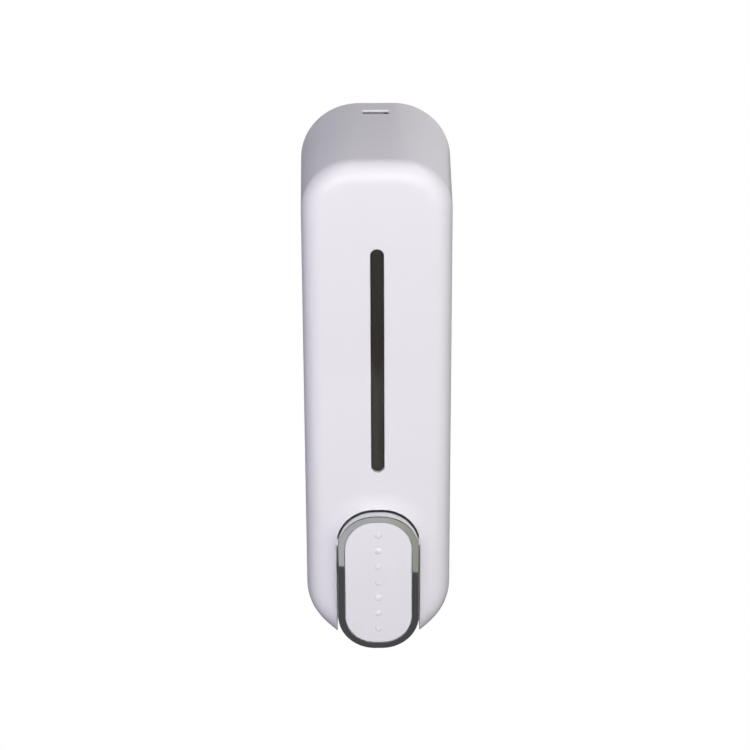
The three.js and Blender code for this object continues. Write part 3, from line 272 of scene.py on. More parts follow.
# %% Outlines and lofts
def outline(half, low, high, low_corner, high_corner, steps=16, side_steps=1):
    """Points (x, z) of a rounded rectangle, anticlockwise seen from the front."""
    corners = [
        (half - high_corner, high - high_corner, high_corner, 0),
        (high_corner - half, high - high_corner, high_corner, 1),
        (low_corner - half, low + low_corner, low_corner, 2),
        (half - low_corner, low + low_corner, low_corner, 3),
    ]
    points = []
    for x, z, radius, quarter in corners:
        for i in range(steps + 1):
            angle = (quarter + i / steps) * math.pi / 2
            points.append((x + radius * math.cos(angle), z + radius * math.sin(angle)))
        if quarter in (1, 3):
            x0, z0 = points[-1]
            z1 = low + low_corner if quarter == 1 else high - high_corner
            points += [(x0, z0 + (z1 - z0) * i / side_steps) for i in range(1, side_steps)]
    return points


def loft(name, rings, closed=False):
    """Rings of equally many points, closed onto the first ring or by a flat face at both ends."""
    count = len(rings[0])
    points = [point for ring in rings for point in ring]
    faces = []
    for r in range(len(rings) if closed else len(rings) - 1):
        here, there = r * count, (r + 1) % len(rings) * count
        for i in range(count):
            after = (i + 1) % count
            faces.append((here + i, here + after, there + after, there + i))
    if not closed:
        last = (len(rings) - 1) * count
        faces += [tuple(range(count)), tuple(range(last + count - 1, last - 1, -1))]
    return mesh_piece(name, points, faces)


def upright(points, y):
    """A flat outline (x, z) stood up at that depth."""
    return [Vector((x, y, z)) for x, z in points]


def block(x0, x1, y0, y1, z0, z1):
    """A box between two corners, as a tool to cut with or a part to join on."""
    flat = [(x1, z0), (x1, z1), (x0, z1), (x0, z0)]
    return polish(loft("block", [upright(flat, y0), upright(flat, y1)]))


def quarter_turn(steps):
    """A quarter circle of radius 1, as (1 - cosine, 1 - sine): from (0, 1) to (1, 0)."""
    angles = [i / steps * math.pi / 2 for i in range(steps + 1)]
    return [(1 - math.cos(angle), 1 - math.sin(angle)) for angle in angles]


ON_AXIS = 0.001 * MM  # the radius of a turned piece's ends, because a ring of no size isn't a ring


def turned(name, profile, centre, axis="Y", sides=64):
    """A turned piece: the profile is (distance along the axis, radius) and starts and ends on the axis."""
    rings = []
    for along, radius in profile:
        ring = []
        for i in range(sides):
            angle = 2 * math.pi * i / sides
            a, b = radius * math.cos(angle), radius * math.sin(angle)
            spot = {"X": (along, a, b), "Y": (a, along, b), "Z": (a, b, along)}[axis]
            ring.append(Vector(centre) + Vector(spot))
        rings.append(ring)
    return polish(loft(name, rings))


print(f"a rounded outline has {len(outline(3, -5, 5, 1, 1))} points")

# %% [markdown]
# ## Front cover: the skin
#
# The cover is one injection moulding. Its face rolls into the sides through a quarter round, and the rise around
# the button is a soft mound with a crisp lip. Subdivision would round the lip off and cutting a mound from
# primitives leaves seams in the gloss. So the front is worked out as a height over a flat drawing: rings follow
# the outline, the button hole and the slot, a Delaunay mesh joins them, and each point is then pushed out to
# where the formula says. The same drawing gives the inside skin.

# %% The cover's sizes
COVER_WALL = 2.2 * MM
SIDE_DRAFT = 1.2 * MM
END_DRAFT = 0.45 * MM
FILLET = 8.8 * MM
MOUND_HEIGHT = 2.5 * MM
MOUND_REACH = 8.5 * MM
LIP_ROUND = 0.4 * MM
RUNNING_GAP = 0.45 * MM

cover_low, cover_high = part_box("front_cover")
button_low, button_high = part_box("button_bezel")
lens_low, lens_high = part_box("window_lens")
pad_low, pad_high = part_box("button_pad")

FACE = -cover_low.y - MOUND_HEIGHT
EDGE = FACE - FILLET
HALF_FRONT = cover_high.x - SIDE_DRAFT
END_FRONT = cover_high.z - END_DRAFT
LOW_CORNER = 29.6 * MM
HIGH_CORNER = 23.2 * MM
HIGH_CORNER_WALL = 26.5 * MM


def casing_outline(depth, inset):
    """The casing's outline at a depth in front of the wall, moved inwards."""
    t = depth / EDGE
    end = END_FRONT + END_DRAFT * (1 - t) - inset
    corner = HIGH_CORNER_WALL + (HIGH_CORNER - HIGH_CORNER_WALL) * t - inset
    return (HALF_FRONT + SIDE_DRAFT * (1 - t) - inset, -end, end, LOW_CORNER - inset, corner)


print(f"cover {2 * HALF_FRONT / MM:.1f} wide, {2 * END_FRONT / MM:.1f} high, {FACE / MM:.1f} deep")

# %% Distances on the flat drawing
def inside_by(x, z, half, low, high, low_corner, high_corner):
    """How far inside a rounded outline the point lies, less than nothing outside."""
    upper = z > (low + high) / 2
    corner = high_corner if upper else low_corner
    across = abs(x) - half + corner
    along = (z - high if upper else low - z) + corner
    return corner - math.hypot(max(across, 0), max(along, 0)) - min(max(across, along), 0)


BUTTON_CORNER = 17 * MM
LENS_OVERLAP = 3.6 * MM  # how far the window's flange goes past the ends of its slot
LIP_SHARE = 0.05  # the share of the mound's reach that stays at its full height
MOUND_CURVE = 2.3  # 1 is a straight slope, and more has a steeper head and a longer foot
HOLE_HALF = button_high.x + RUNNING_GAP
HOLE_TOP = button_high.z + RUNNING_GAP
HOLE_CORNER = BUTTON_CORNER + RUNNING_GAP
SLOT_HALF = 3 * MM
SLOT_LOW = lens_low.z + LENS_OVERLAP
SLOT_HIGH = lens_high.z - LENS_OVERLAP
FAR_BELOW = cover_low.z - 40 * MM  # the hole's outline ends down there, so that its foot is open


def from_hole(x, z):
    """How far outside the button hole the point lies."""
    return -inside_by(x, z, HOLE_HALF, FAR_BELOW, HOLE_TOP, HOLE_CORNER, HOLE_CORNER)


def from_slot(x, z):
    """How far outside the window slot the point lies."""
    return -inside_by(x, z, SLOT_HALF, SLOT_LOW, SLOT_HIGH, SLOT_HALF, SLOT_HALF)


def quarter_round(distance, radius):
    """How far a quarter round has risen at a distance from its foot."""
    return math.sqrt(max(radius**2 - (radius - min(max(distance, 0), radius)) ** 2, 0))


def mound(distance):
    """The share of its height that the rise around the button has at a distance from the hole."""
    t = min(max((distance / MOUND_REACH - LIP_SHARE) / (1 - LIP_SHARE), 0), 1)
    return (1 - t) ** MOUND_CURVE


def outer_height(x, z):
    """The outside skin, in front of the wall."""
    rise = quarter_round(inside_by(x, z, *casing_outline(EDGE, 0)), FILLET)
    lip = LIP_ROUND - quarter_round(from_hole(x, z), LIP_ROUND)
    slot_lip = LIP_ROUND - quarter_round(from_slot(x, z), LIP_ROUND)
    return EDGE + rise + MOUND_HEIGHT * mound(from_hole(x, z)) * rise / FILLET - lip - slot_lip


def inner_height(x, z):
    """The inside skin, in front of the wall."""
    return EDGE + quarter_round(inside_by(x, z, *casing_outline(EDGE, COVER_WALL)), FILLET - COVER_WALL)


face_out, lip_out = outer_height(HALF_FRONT / 2, 0), outer_height(0, HOLE_TOP + LIP_ROUND)
print(f"face {face_out / MM:.1f} mm out, lip above the button {lip_out / MM:.1f}")

# %% Rings on the drawing
FILLET_STEPS = 12
INNER_STEPS = 8
LIP_STEPS = 6
FACE_GUARD = 0.3 * MM  # a last ring this far onto the face keeps the face flat
LIP_GUARD = 0.1 * MM
SLOPE_SHARES = (0.09, 0.14, 0.2, 0.27, 0.34, 0.42, 0.5, 0.58, 0.67, 0.77, 0.88, 1, 1.04)
OPEN_FOOT = cover_low.z - 8 * MM  # below this the rings round the hole aren't drawn


def drawing_lines():
    """Every line of the flat drawing, as (points, closed)."""
    lines = []
    sides = dict(steps=24, side_steps=36)
    insets = [FILLET * across for across, _ in quarter_turn(FILLET_STEPS)]
    insets += [COVER_WALL + (FILLET - COVER_WALL) * across for across, _ in quarter_turn(INNER_STEPS)[:-1]]
    for inset in insets + [FILLET + FACE_GUARD]:
        lines.append((outline(*casing_outline(EDGE, inset), **sides), True))
    lip = [LIP_ROUND * across for across, _ in quarter_turn(LIP_STEPS)] + [LIP_ROUND + LIP_GUARD]
    for away in lip + [MOUND_REACH * share for share in SLOPE_SHARES]:
        half, corner = HOLE_HALF + away, HOLE_CORNER + away
        ring = outline(half, FAR_BELOW, HOLE_TOP + away, corner, corner, steps=28, side_steps=90)
        lines.append(([(x, z) for x, z in ring if z > OPEN_FOOT], False))
    for away in lip:
        half = SLOT_HALF + away
        ring = outline(half, SLOT_LOW - away, SLOT_HIGH + away, half, half, steps=12, side_steps=20)
        lines.append((ring, True))
    return lines


def turned_to_open_end(points):
    """Starts an open line at its widest gap, so that it runs from one free end to the other."""
    gaps = [math.dist(points[i - 1], points[i]) for i in range(len(points))]
    start = gaps.index(max(gaps))
    return points[start:] + points[:start]


SAME_POINT = 1e-4  # mm


def drawn_mesh():
    """The Delaunay mesh of the drawing: points (x, z) in metres and triangles."""
    points, edges = [], []
    for line, closed in drawing_lines():
        if not closed:
            line = turned_to_open_end(line)
        start = len(points)
        points += [Vector((x / MM, z / MM)) for x, z in line]
        edges += [(start + i, start + i + 1) for i in range(len(line) - 1)]
        if closed:
            edges.append((start + len(line) - 1, start))
    flat, _, faces, *_ = delaunay_2d_cdt(points, edges, [], 0, SAME_POINT, False)
    return [(point.x * MM, point.y * MM) for point in flat], faces


flat_points, flat_faces = drawn_mesh()
print(f"drawing: {len(flat_points)} points, {len(flat_faces)} triangles")

# %% One skin, from the drawing to the wall
SIDE_ROWS = (0, 0.5, 1)  # how far down the sides, from the front edge to the wall
ON_EDGE = 1e-7  # m: a triangle that lies less than this inside the outline is left out


def matching(x, z, here, there):
    """The point of outline there that lies where (x, z) lies on outline here."""
    half, low, high, low_corner, high_corner = here
    half_to, low_to, high_to, low_corner_to, high_corner_to = there
    side = 1 if x > 0 else -1
    upper = z > (low + high) / 2
    corner, corner_to = (high_corner, high_corner_to) if upper else (low_corner, low_corner_to)
    end, end_to = (high, high_to) if upper else (low, low_to)
    turn = 1 if upper else -1
    across, along = abs(x) - half + corner, (z - end) * turn + corner
    if across > 0 and along > 0:
        reach = math.hypot(across, along)
        return (
            side * (half_to - corner_to + corner_to * across / reach),
            end_to - turn * (corner_to - corner_to * along / reach),
        )
    if across > 0:
        t = (z - low - low_corner) / (high - high_corner - low - low_corner)
        foot, head = low_to + low_corner_to, high_to - high_corner_to
        return side * half_to, foot + (head - foot) * t
    return x * (half_to - corner_to) / (half - corner), end_to


def skin(inset, height):
    """One skin of the cover: the front as drawn and pushed out, then the sides down to the wall."""
    here, there = casing_outline(EDGE, inset), casing_outline(0, inset)
    kept = []
    for face in flat_faces:
        x = sum(flat_points[i][0] for i in face) / 3
        z = sum(flat_points[i][1] for i in face) / 3
        if inside_by(x, z, *here) > ON_EDGE:
            kept.append(tuple(face))
    seen = {}
    for face in kept:
        for a, b in zip(face, face[1:] + face[:1]):
            seen[frozenset((a, b))] = None if frozenset((a, b)) in seen else (a, b)
    border = [edge for edge in seen.values() if edge]
    used = sorted({i for face in kept for i in face})
    on_border = {i for edge in border for i in edge}
    index, points = {}, []
    for i in used:
        x, z = flat_points[i]
        index[i] = len(points)
        forward = EDGE if i in on_border else height(x, z)
        points.append(Vector((x, -forward, z)))
    faces = [tuple(index[i] for i in face) for face in kept]
    rows = [{i: index[i] for i in on_border}]
    for share in SIDE_ROWS:
        row = {}
        for i in on_border:
            x, z = flat_points[i]
            to_x, to_z = matching(x, z, here, there)
            row[i] = len(points)
            points.append(Vector((x + (to_x - x) * share, -EDGE * (1 - share), z + (to_z - z) * share)))
        rows.append(row)
    for upper, lower in zip(rows, rows[1:]):
        faces += [(upper[b], upper[a], lower[a], lower[b]) for a, b in border]
    rim = [(points[rows[-1][a]], points[rows[-1][b]]) for a, b in border]
    return points, faces, rim


print(f"the sides come down in {len(SIDE_ROWS)} rows")

# %% Both skins make the shell
RIM_SAME_POINT = 1e-3  # mm
RIM_EDGE = 1e-6  # m


def shell():
    """Both skins of the cover, and the flat rim that joins them on the wall."""
    points, faces, rim = skin(0, outer_height)
    inner_points, inner_faces, inner_rim = skin(COVER_WALL, inner_height)
    faces += [tuple(len(points) + i for i in reversed(face)) for face in inner_faces]
    points += inner_points
    ends, edges = [], []
    for a, b in rim + inner_rim:
        edges.append((len(ends), len(ends) + 1))
        ends += [Vector((a.x / MM, a.z / MM)), Vector((b.x / MM, b.z / MM))]
    flat, _, triangles, *_ = delaunay_2d_cdt(ends, edges, [], 0, RIM_SAME_POINT, False)
    wall_inner = casing_outline(0, COVER_WALL)
    for triangle in triangles:
        x = sum(flat[i].x for i in triangle) / 3 * MM
        z = sum(flat[i].y for i in triangle) / 3 * MM
        if inside_by(x, z, *wall_inner) < -RIM_EDGE:
            faces.append(tuple(len(points) + i for i in range(3)))
            points += [Vector((flat[i].x * MM, 0, flat[i].y * MM)) for i in triangle]
    return polish(mesh_piece("cover moulding", points, faces))


cover = shell()
print(f"cover shell: {len(cover.data.polygons)} faces")

# %% [markdown]
# ## Front cover: openings and inside features
#
# The mould leaves openings where steel meets steel: the button hole, which is open at the bottom, the window
# slot, the key slot in the top wall and the reliefs at the hinge. Booleans do the same job on a closed shell,
# and the Manifold solver keeps them quick and watertight. The tools stop a hundredth of a millimetre short of
# the drawn rings, so a cut never runs along an edge that is already there.

# %% The sizes of the openings
SHORT = 0.01 * MM
GAP = 0.3 * MM
CLEAR = 5 * MM  # how far a tool goes on past the cover's ends
BEHIND = 2 * MM  # and past its rim on the wall
PAST = 1 * MM  # and past the end of a small bore
KEY_HALF = 5.85 * MM
KEY_REAR, KEY_FRONT = -9.2 * MM, -14.6 * MM
KEY_REACH = 6 * MM  # deeper than the top wall is thick
NOSE_DEPTH = 3.4 * MM  # from the skin to the latch's nose
NOSE_SIDE = 0.4 * MM
SPOUT_WAY = 10.3 * MM
SPOUT_RISE = 12 * MM
FOOT_HALF, FOOT_DEPTH, FOOT_RISE = 24 * MM, 4.5 * MM, 0.4 * MM  # the relief that clears the back plate's foot
LUG_HALF, LUG_ROOM = 5.4 * MM, 4 * MM  # the room for the hinge lug
EAR_RADIUS, EAR_END = 3 * MM, 9.4 * MM
PIN_HOLE, PIN_REACH = 1.35 * MM, 12 * MM
BOSS_RADIUS, BOSS_ROOT = 2.6 * MM, 0.6 * MM
PILOT_RADIUS, PILOT_START = 1.4 * MM, 0.3 * MM
GUIDE_BOSS = 4.6 * MM
_, latch_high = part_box("latch_tongue")
pin_low, pin_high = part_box("hinge_pin")
nozzle_low, nozzle_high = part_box("nozzle_tip")
HINGE_Y, HINGE_Z = (pin_low.y + pin_high.y) / 2, (pin_low.z + pin_high.z) / 2
SPOUT_Y = (nozzle_low.y + nozzle_high.y) / 2
print(f"hinge {HINGE_Y / MM:.1f}, {HINGE_Z / MM:.1f}; spout {SPOUT_Y / MM:.1f}")


# %% Tools to cut with
def pill_block(name, y0, y1, half, low, high, corner, steps=28):
    """A block with round corners between two depths."""
    return polish(loft(name, [upright(outline(half, low, high, corner, corner, steps), y) for y in (y0, y1)]))


def round_bar(radius, start, end, sides=48):
    """A bar along x, y or z between two points."""
    start, end = Vector(start), Vector(end)
    axis = max(range(3), key=lambda i: abs(end[i] - start[i]))
    centre = start.copy()
    centre[axis] = 0
    a, b = sorted((start[axis], end[axis]))
    return turned("bar", [(a, ON_AXIS), (a, radius), (b, radius), (b, ON_AXIS)], centre, "XYZ"[axis], sides)


def nodes_like(start):
    """The nodes whose names start so, such as all the screws of one kind."""
    return sorted(node for node in SLOTS if node.startswith(start))


def middle(node):
    """The middle of a node's box."""
    low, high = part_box(node)
    return (low + high) / 2


guide_spots = [middle(node) for node in nodes_like("guide_screw")]
lens_spots = [middle(node) for node in nodes_like("lens_screw")]
print(f"bosses: {len(guide_spots)} for the guide, {len(lens_spots)} for the window frame")

# %% Bosses for the screws
INNER_FACE = COVER_WALL - FACE
frame_low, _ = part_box("lens_frame")
for spots, end in ((guide_spots, INNER_FACE + GUIDE_BOSS), (lens_spots, frame_low.y - GAP)):
    for spot in spots:
        root, start = (spot.x, INNER_FACE - BOSS_ROOT, spot.z), (spot.x, INNER_FACE + PILOT_START, spot.z)
        carve(cover, round_bar(BOSS_RADIUS, root, (spot.x, end, spot.z)), "UNION")
        carve(cover, round_bar(PILOT_RADIUS, start, (spot.x, end + PAST, spot.z), 24))
print(f"cover with bosses: {len(cover.data.polygons)} faces")

# %% Openings
FRONT_OF_ALL = -95 * MM
FRONT_OF_FACE = -90 * MM
HOLE_REAR = 8 * MM  # behind the front edge
LOW_END, HIGH_END = cover_low.z, cover_high.z
openings = [
    pill_block("button hole", FRONT_OF_ALL, HOLE_REAR - EDGE, HOLE_HALF - SHORT, FAR_BELOW, HOLE_TOP - SHORT,
               HOLE_CORNER - SHORT),
    pill_block("window slot", FRONT_OF_FACE, INNER_FACE + CLEAR, SLOT_HALF - SHORT, SLOT_LOW + SHORT,
               SLOT_HIGH - SHORT, SLOT_HALF - 2 * SHORT, 12),
    round_bar(SPOUT_WAY, (0, SPOUT_Y, LOW_END - CLEAR), (0, SPOUT_Y, LOW_END + SPOUT_RISE), 64),
    block(-SPOUT_WAY, SPOUT_WAY, -EDGE, SPOUT_Y, LOW_END - CLEAR, LOW_END + SPOUT_RISE),
    block(-KEY_HALF, KEY_HALF, KEY_FRONT, KEY_REAR, HIGH_END - KEY_REACH, HIGH_END + CLEAR),
    block(-KEY_HALF - NOSE_SIDE, KEY_HALF + NOSE_SIDE, KEY_FRONT, PAST, HIGH_END - KEY_REACH,
          latch_high.z + NOSE_DEPTH),
    block(-FOOT_HALF, FOOT_HALF, -FOOT_DEPTH, BEHIND, LOW_END - CLEAR, HINGE_Z + FOOT_RISE),
    block(-LUG_HALF, LUG_HALF, HINGE_Y - LUG_ROOM, BEHIND, LOW_END - CLEAR, HINGE_Z + LUG_ROOM),
]
for tool in openings:
    carve(cover, tool)
print(f"cover with {len(openings)} openings: {len(cover.data.polygons)} faces")

# %% Hinge ears
for side in (-1, 1):
    ear = round_bar(EAR_RADIUS, (side * LUG_HALF, HINGE_Y, HINGE_Z), (side * EAR_END, HINGE_Y, HINGE_Z))
    carve(cover, ear, "UNION")
carve(cover, round_bar(PIN_HOLE, (-PIN_REACH, HINGE_Y, HINGE_Z), (PIN_REACH, HINGE_Y, HINGE_Z)))
fit(polish(cover), "front_cover")

# %% [markdown]
# ## Button: chromed bezel
#
# The bezel is a tube with a flat rim, plated bright. Chrome shows every facet, so its section is one closed
# profile carried round the button's outline: a rounded outer edge, the flat rim, a small inner edge, and the
# wall behind. Narrow guard rings beside each edge keep the flats flat when the edges shade smoothly.

# %% The bezel
RIM_WIDTH = 3.25 * MM
RIM_DEPTH = 2 * MM
BEZEL_WALL = 1.6 * MM
BEZEL_REAR_EDGE = 0.3 * MM
RIM_OUTER_ROUND, RIM_INNER_ROUND = 0.5 * MM, 0.25 * MM
GUARD = 0.06 * MM
RIB_HALF, RIB_THICK = 5 * MM, 1.5 * MM
RIB_START, RIB_END = 1 * MM, 3 * MM  # from the bezel's end inwards
RIB_BACK = 2.3 * MM  # behind the carrier's front


def button_ring(inset, y, steps=28):
    """The button's outline at a depth, moved inwards."""
    corner = BUTTON_CORNER - inset
    flat = outline(button_high.x - inset, button_low.z + inset, button_high.z - inset, corner, corner, steps)
    return upright(flat, y)


def joined(name, pieces):
    """Several closed shapes as one piece, without cutting them together."""
    shape = bmesh.new()
    for piece in pieces:
        shape.from_mesh(piece.data)
        bpy.data.objects.remove(piece)
    data = bpy.data.meshes.new(name)
    shape.to_mesh(data)
    shape.free()
    return new_object(name, data)


def bezel():
    front, rear = button_low.y, button_high.y
    outer, inner = RIM_OUTER_ROUND, RIM_INNER_ROUND
    section = [(0, rear - BEZEL_REAR_EDGE), (0, front + outer + GUARD)]
    section += [(outer * across, front + outer * up) for across, up in quarter_turn(8)]
    section += [(outer + GUARD, front), (RIM_WIDTH - inner - GUARD, front)]
    section += [(RIM_WIDTH - inner * up, front + inner * across) for across, up in quarter_turn(5)]
    section += [(RIM_WIDTH, front + RIM_DEPTH), (BEZEL_WALL, front + RIM_DEPTH)]
    section += [(BEZEL_WALL, rear), (BEZEL_REAR_EDGE, rear)]
    tube = polish(loft("tube", [button_ring(inset, y) for inset, y in section], closed=True))
    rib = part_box("button_carrier")[0].y + RIB_BACK
    ribs = [
        block(-RIB_HALF, RIB_HALF, rib, rib + RIB_THICK, end - turn * RIB_START, end - turn * RIB_END)
        for end, turn in ((button_high.z, 1), (button_low.z, -1))
    ]
    return joined("chromed bezel", [tube, *ribs])


fit(polish(bezel()), "button_bezel")

# %% [markdown]
# ## Button: white pad with its dots
#
# The pad is flush with the rim and carries a row of low domes that a wet finger can feel. The domes repeat, so
# Geometry Nodes places them: a line of points, one flattened sphere on each, made real and given the finish. The
# tree's inputs are the four numbers that a maker would change.

# %% A Geometry Nodes helper
def new_tree(name, inputs):
    """A Geometry Nodes tree with those named inputs, as {name: kind}."""
    tree = bpy.data.node_groups.new(name, "GeometryNodeTree")
    tree.interface.new_socket("Geometry", in_out="INPUT", socket_type="NodeSocketGeometry")
    for label, kind in inputs.items():
        tree.interface.new_socket(label, in_out="INPUT", socket_type=kind)
    tree.interface.new_socket("Geometry", in_out="OUTPUT", socket_type="NodeSocketGeometry")
    return tree, tree.nodes.new("NodeGroupInput"), tree.nodes.new("NodeGroupOutput")


def end_tree(tree, geometry, given, result):
    """The end of every tree: copies are made real, and the finish is set."""
    real = add_node(tree, "GeometryNodeRealizeInstances")
    coated = add_node(tree, "GeometryNodeSetMaterial")
    tree.links.new(geometry, real.inputs["Geometry"])
    tree.links.new(real.outputs["Geometry"], coated.inputs["Geometry"])
    tree.links.new(given.outputs["Finish"], coated.inputs["Material"])
    tree.links.new(coated.outputs["Geometry"], result.inputs["Geometry"])
    return tree


def apply_tree(piece, tree, values):
    """Runs the tree on the piece with those values, and keeps the result as plain mesh."""
    nodes = piece.modifiers.new(tree.name, "NODES")
    nodes.node_group = tree
    for socket in tree.interface.items_tree:
        if socket.in_out == "INPUT" and socket.name in values:
            nodes[socket.identifier] = values[socket.name]
    return settle(piece)


print("Geometry Nodes of Blender", bpy.app.version_string)

# %% The tree for the dots
def dot_tree():
    """One flattened sphere on each point of a line, joined to the piece that comes in."""
    tree, given, result = new_tree("raised dots", {
        "Count": "NodeSocketInt", "Pitch": "NodeSocketVector", "First": "NodeSocketVector",
        "Radius": "NodeSocketFloat", "Flatness": "NodeSocketVector", "Finish": "NodeSocketMaterial"})
    link = tree.links.new
    line = add_node(tree, "GeometryNodeMeshLine")
    link(given.outputs["Count"], line.inputs["Count"])
    link(given.outputs["First"], line.inputs["Start Location"])
    link(given.outputs["Pitch"], line.inputs["Offset"])
    dome = add_node(tree, "GeometryNodeMeshUVSphere", {"Segments": 40, "Rings": 20})
    link(given.outputs["Radius"], dome.inputs["Radius"])
    place = add_node(tree, "GeometryNodeInstanceOnPoints")
    link(line.outputs["Mesh"], place.inputs["Points"])
    link(dome.outputs["Mesh"], place.inputs["Instance"])
    link(given.outputs["Flatness"], place.inputs["Scale"])
    both = add_node(tree, "GeometryNodeJoinGeometry")
    link(given.outputs["Geometry"], both.inputs["Geometry"])
    link(place.outputs["Instances"], both.inputs["Geometry"])
    return end_tree(tree, both.outputs["Geometry"], given, result)


dots = dot_tree()
print(f"{dots.name}: {len(dots.nodes)} nodes")

# %% The pad
DOT_COUNT = 7
DOT_PITCH = 8.15 * MM
DOT_RADIUS = 1.55 * MM
DOT_RISE = 0.5 * MM
PAD_INSET = 3.4 * MM
PAD_EDGE = 0.3 * MM
FLANGE_INSET, FLANGE_THICK = 2.2 * MM, 1.3 * MM


def pad():
    front = button_low.y
    flange_front = pad_high.y - FLANGE_THICK
    rings = [(FLANGE_INSET, pad_high.y), (FLANGE_INSET, flange_front), (PAD_INSET, flange_front)]
    rings += [(PAD_INSET + PAD_EDGE * across, front + PAD_EDGE * up) for across, up in quarter_turn(5)]
    rings.append((PAD_INSET + PAD_EDGE + GUARD, front))
    plate = polish(loft("white pad", [button_ring(inset, y) for inset, y in rings]))
    first = (button_low.z + button_high.z) / 2 + DOT_RISE - (DOT_COUNT - 1) / 2 * DOT_PITCH
    return apply_tree(plate, dots, {
        "Count": DOT_COUNT, "Pitch": (0, 0, DOT_PITCH), "First": (0, front, first), "Radius": DOT_RADIUS,
        "Flatness": (1, (front - pad_low.y) / DOT_RADIUS, 1), "Finish": FINISHES["gloss_white_abs"]})


fit(polish(pad()), "button_pad")

# %% [markdown]
# ## Level window
#
# The window is a dark strip that fills the slot and sits a millimetre behind the face, so the slot's edge casts a
# line of shadow on it. Its front is slightly crowned, as such strips are, which draws the reflection of the room
# out into one thin bright line. A flange behind the face keeps soap and water out.

# %% The window
CROWN = 0.45 * MM
CROWN_STEPS = 8
CROWN_SPAN = 8.2  # a little over the steps, so that the last ring keeps a width
LENS_GAP = 0.3 * MM


def window():
    flange, rib = lens_high.x, SLOT_HALF - LENS_GAP
    rings = [(flange, lens_high.y), (flange, INNER_FACE + GAP), (rib, INNER_FACE + GAP)]
    for i in range(CROWN_STEPS + 1):
        half = rib * (1 - i / CROWN_SPAN)
        rings.append((half, lens_low.y + CROWN * (half / rib) ** 2))
    spread = [
        upright(outline(half, SLOT_LOW + SLOT_HALF - half, SLOT_HIGH - SLOT_HALF + half, half, half, 12), y)
        for half, y in rings
    ]
    return polish(loft("window strip", spread))


fit(window(), "window_lens")

# %% [markdown]
# ## Soap tank and lid
#
# The tank is a deep cup and the lid a plate with a skirt that plugs into it. Both could be cut out of blocks, but
# a cup with round corners everywhere is quicker as one loft: rings of the same outline, each higher or lower and
# each moved in or out, go up the outside, over the rim and down the inside. The spigot, the hooks and the grip
# are then joined on, and the bores are cut.

# %% The tank's sizes
tank_low, tank_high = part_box("soap_tank")
_, lid_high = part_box("tank_lid")
TANK_WALL = 1.7 * MM
TANK_CORNER = 9 * MM
TANK_FOOT = 3 * MM  # the round between the sides and the base
RIM_FLANGE, RIM_THICK, RIM_ROUND = 0.9 * MM, 2 * MM, 0.35 * MM
SPIGOT_LENGTH = 21.6 * MM
SPIGOT_RADIUS, OUTLET_RADIUS = 7 * MM, 5 * MM
ROOT = 0.5 * MM  # how far a part that is joined on reaches into the tank's wall
SPIGOT_Y = -26 * MM
TANK_HALF = tank_high.x - RIM_FLANGE
TANK_FRONT = tank_low.y + RIM_FLANGE
TANK_REAR = -11 * MM
TANK_RIM = tank_high.z
TANK_BASE = tank_low.z + SPIGOT_LENGTH
TANK_MIDDLE = (TANK_FRONT + TANK_REAR) / 2
HOOK_X, HOOK_HALF = 22 * MM, 2.3 * MM
HOOK_REAR, HOOK_THICK, HOOK_RISE, HOOK_DROP = -4.7 * MM, 2 * MM, 4.3 * MM, 6 * MM
HOOK_Z = TANK_RIM - 40 * MM  # the height of the rail that the hooks hang on
print(f"tank {2 * TANK_HALF / MM:.1f} wide, {(TANK_RIM - TANK_BASE) / MM:.1f} deep")


def tank_ring(inset, z, steps=14):
    """The tank's outline, level at that height and moved inwards."""
    corner = TANK_CORNER - inset
    flat = outline(TANK_HALF - inset, TANK_FRONT + inset, TANK_REAR - inset, corner, corner, steps)
    return [Vector((x, y, z)) for x, y in flat]


# %% The tank
def tank():
    floor, lip, round_foot = TANK_BASE + TANK_WALL, TANK_RIM - RIM_THICK, quarter_turn(7)
    rings = [(TANK_FOOT * up, TANK_BASE + TANK_FOOT * across) for across, up in round_foot]
    rings += [(0, lip), (RIM_ROUND - RIM_FLANGE, lip), (-RIM_FLANGE, lip + RIM_ROUND)]
    rings += [(-RIM_FLANGE, TANK_RIM - RIM_ROUND), (RIM_ROUND - RIM_FLANGE, TANK_RIM), (TANK_WALL, TANK_RIM)]
    inside = TANK_FOOT - TANK_WALL
    rings += [(TANK_WALL + inside * across, floor + inside * up) for across, up in round_foot]
    cup = polish(loft("tank cup", [tank_ring(inset, z) for inset, z in rings]))
    foot, bore_foot = (0, SPIGOT_Y, tank_low.z), (0, SPIGOT_Y, tank_low.z - PAST)
    carve(cup, round_bar(SPIGOT_RADIUS, foot, (0, SPIGOT_Y, TANK_BASE + ROOT), 64), "UNION")
    carve(cup, round_bar(OUTLET_RADIUS, bore_foot, (0, SPIGOT_Y, floor + PAST), 64))
    for side in (-1, 1):
        x0, x1 = side * HOOK_X - HOOK_HALF, side * HOOK_X + HOOK_HALF
        top = HOOK_Z + HOOK_RISE
        carve(cup, block(x0, x1, TANK_REAR - ROOT, HOOK_REAR, HOOK_Z + GAP, top), "UNION")
        carve(cup, block(x0, x1, HOOK_REAR - HOOK_THICK, HOOK_REAR, HOOK_Z - HOOK_DROP, top), "UNION")
    return cup


fit(polish(tank()), "soap_tank")

# %% The lid
LID_THICK, LID_ROUND = 2.2 * MM, 0.8 * MM
SKIRT_DEPTH, SKIRT_OUTSIDE, SKIRT_INSIDE = 5 * MM, 2 * MM, 3.6 * MM
GRIP_HALF, GRIP_ROUND, GRIP_FOOT_ROUND = 11 * MM, 4 * MM, 0.2 * MM
GRIP_SECTION = ((0.5, -1.5), (0, -1), (0, 1), (0.5, 1.5))  # mm moved in from the outline, mm along y
VENT_FORWARD, VENT_RADIUS, VENT_REACH = 14 * MM, 1 * MM, 8 * MM


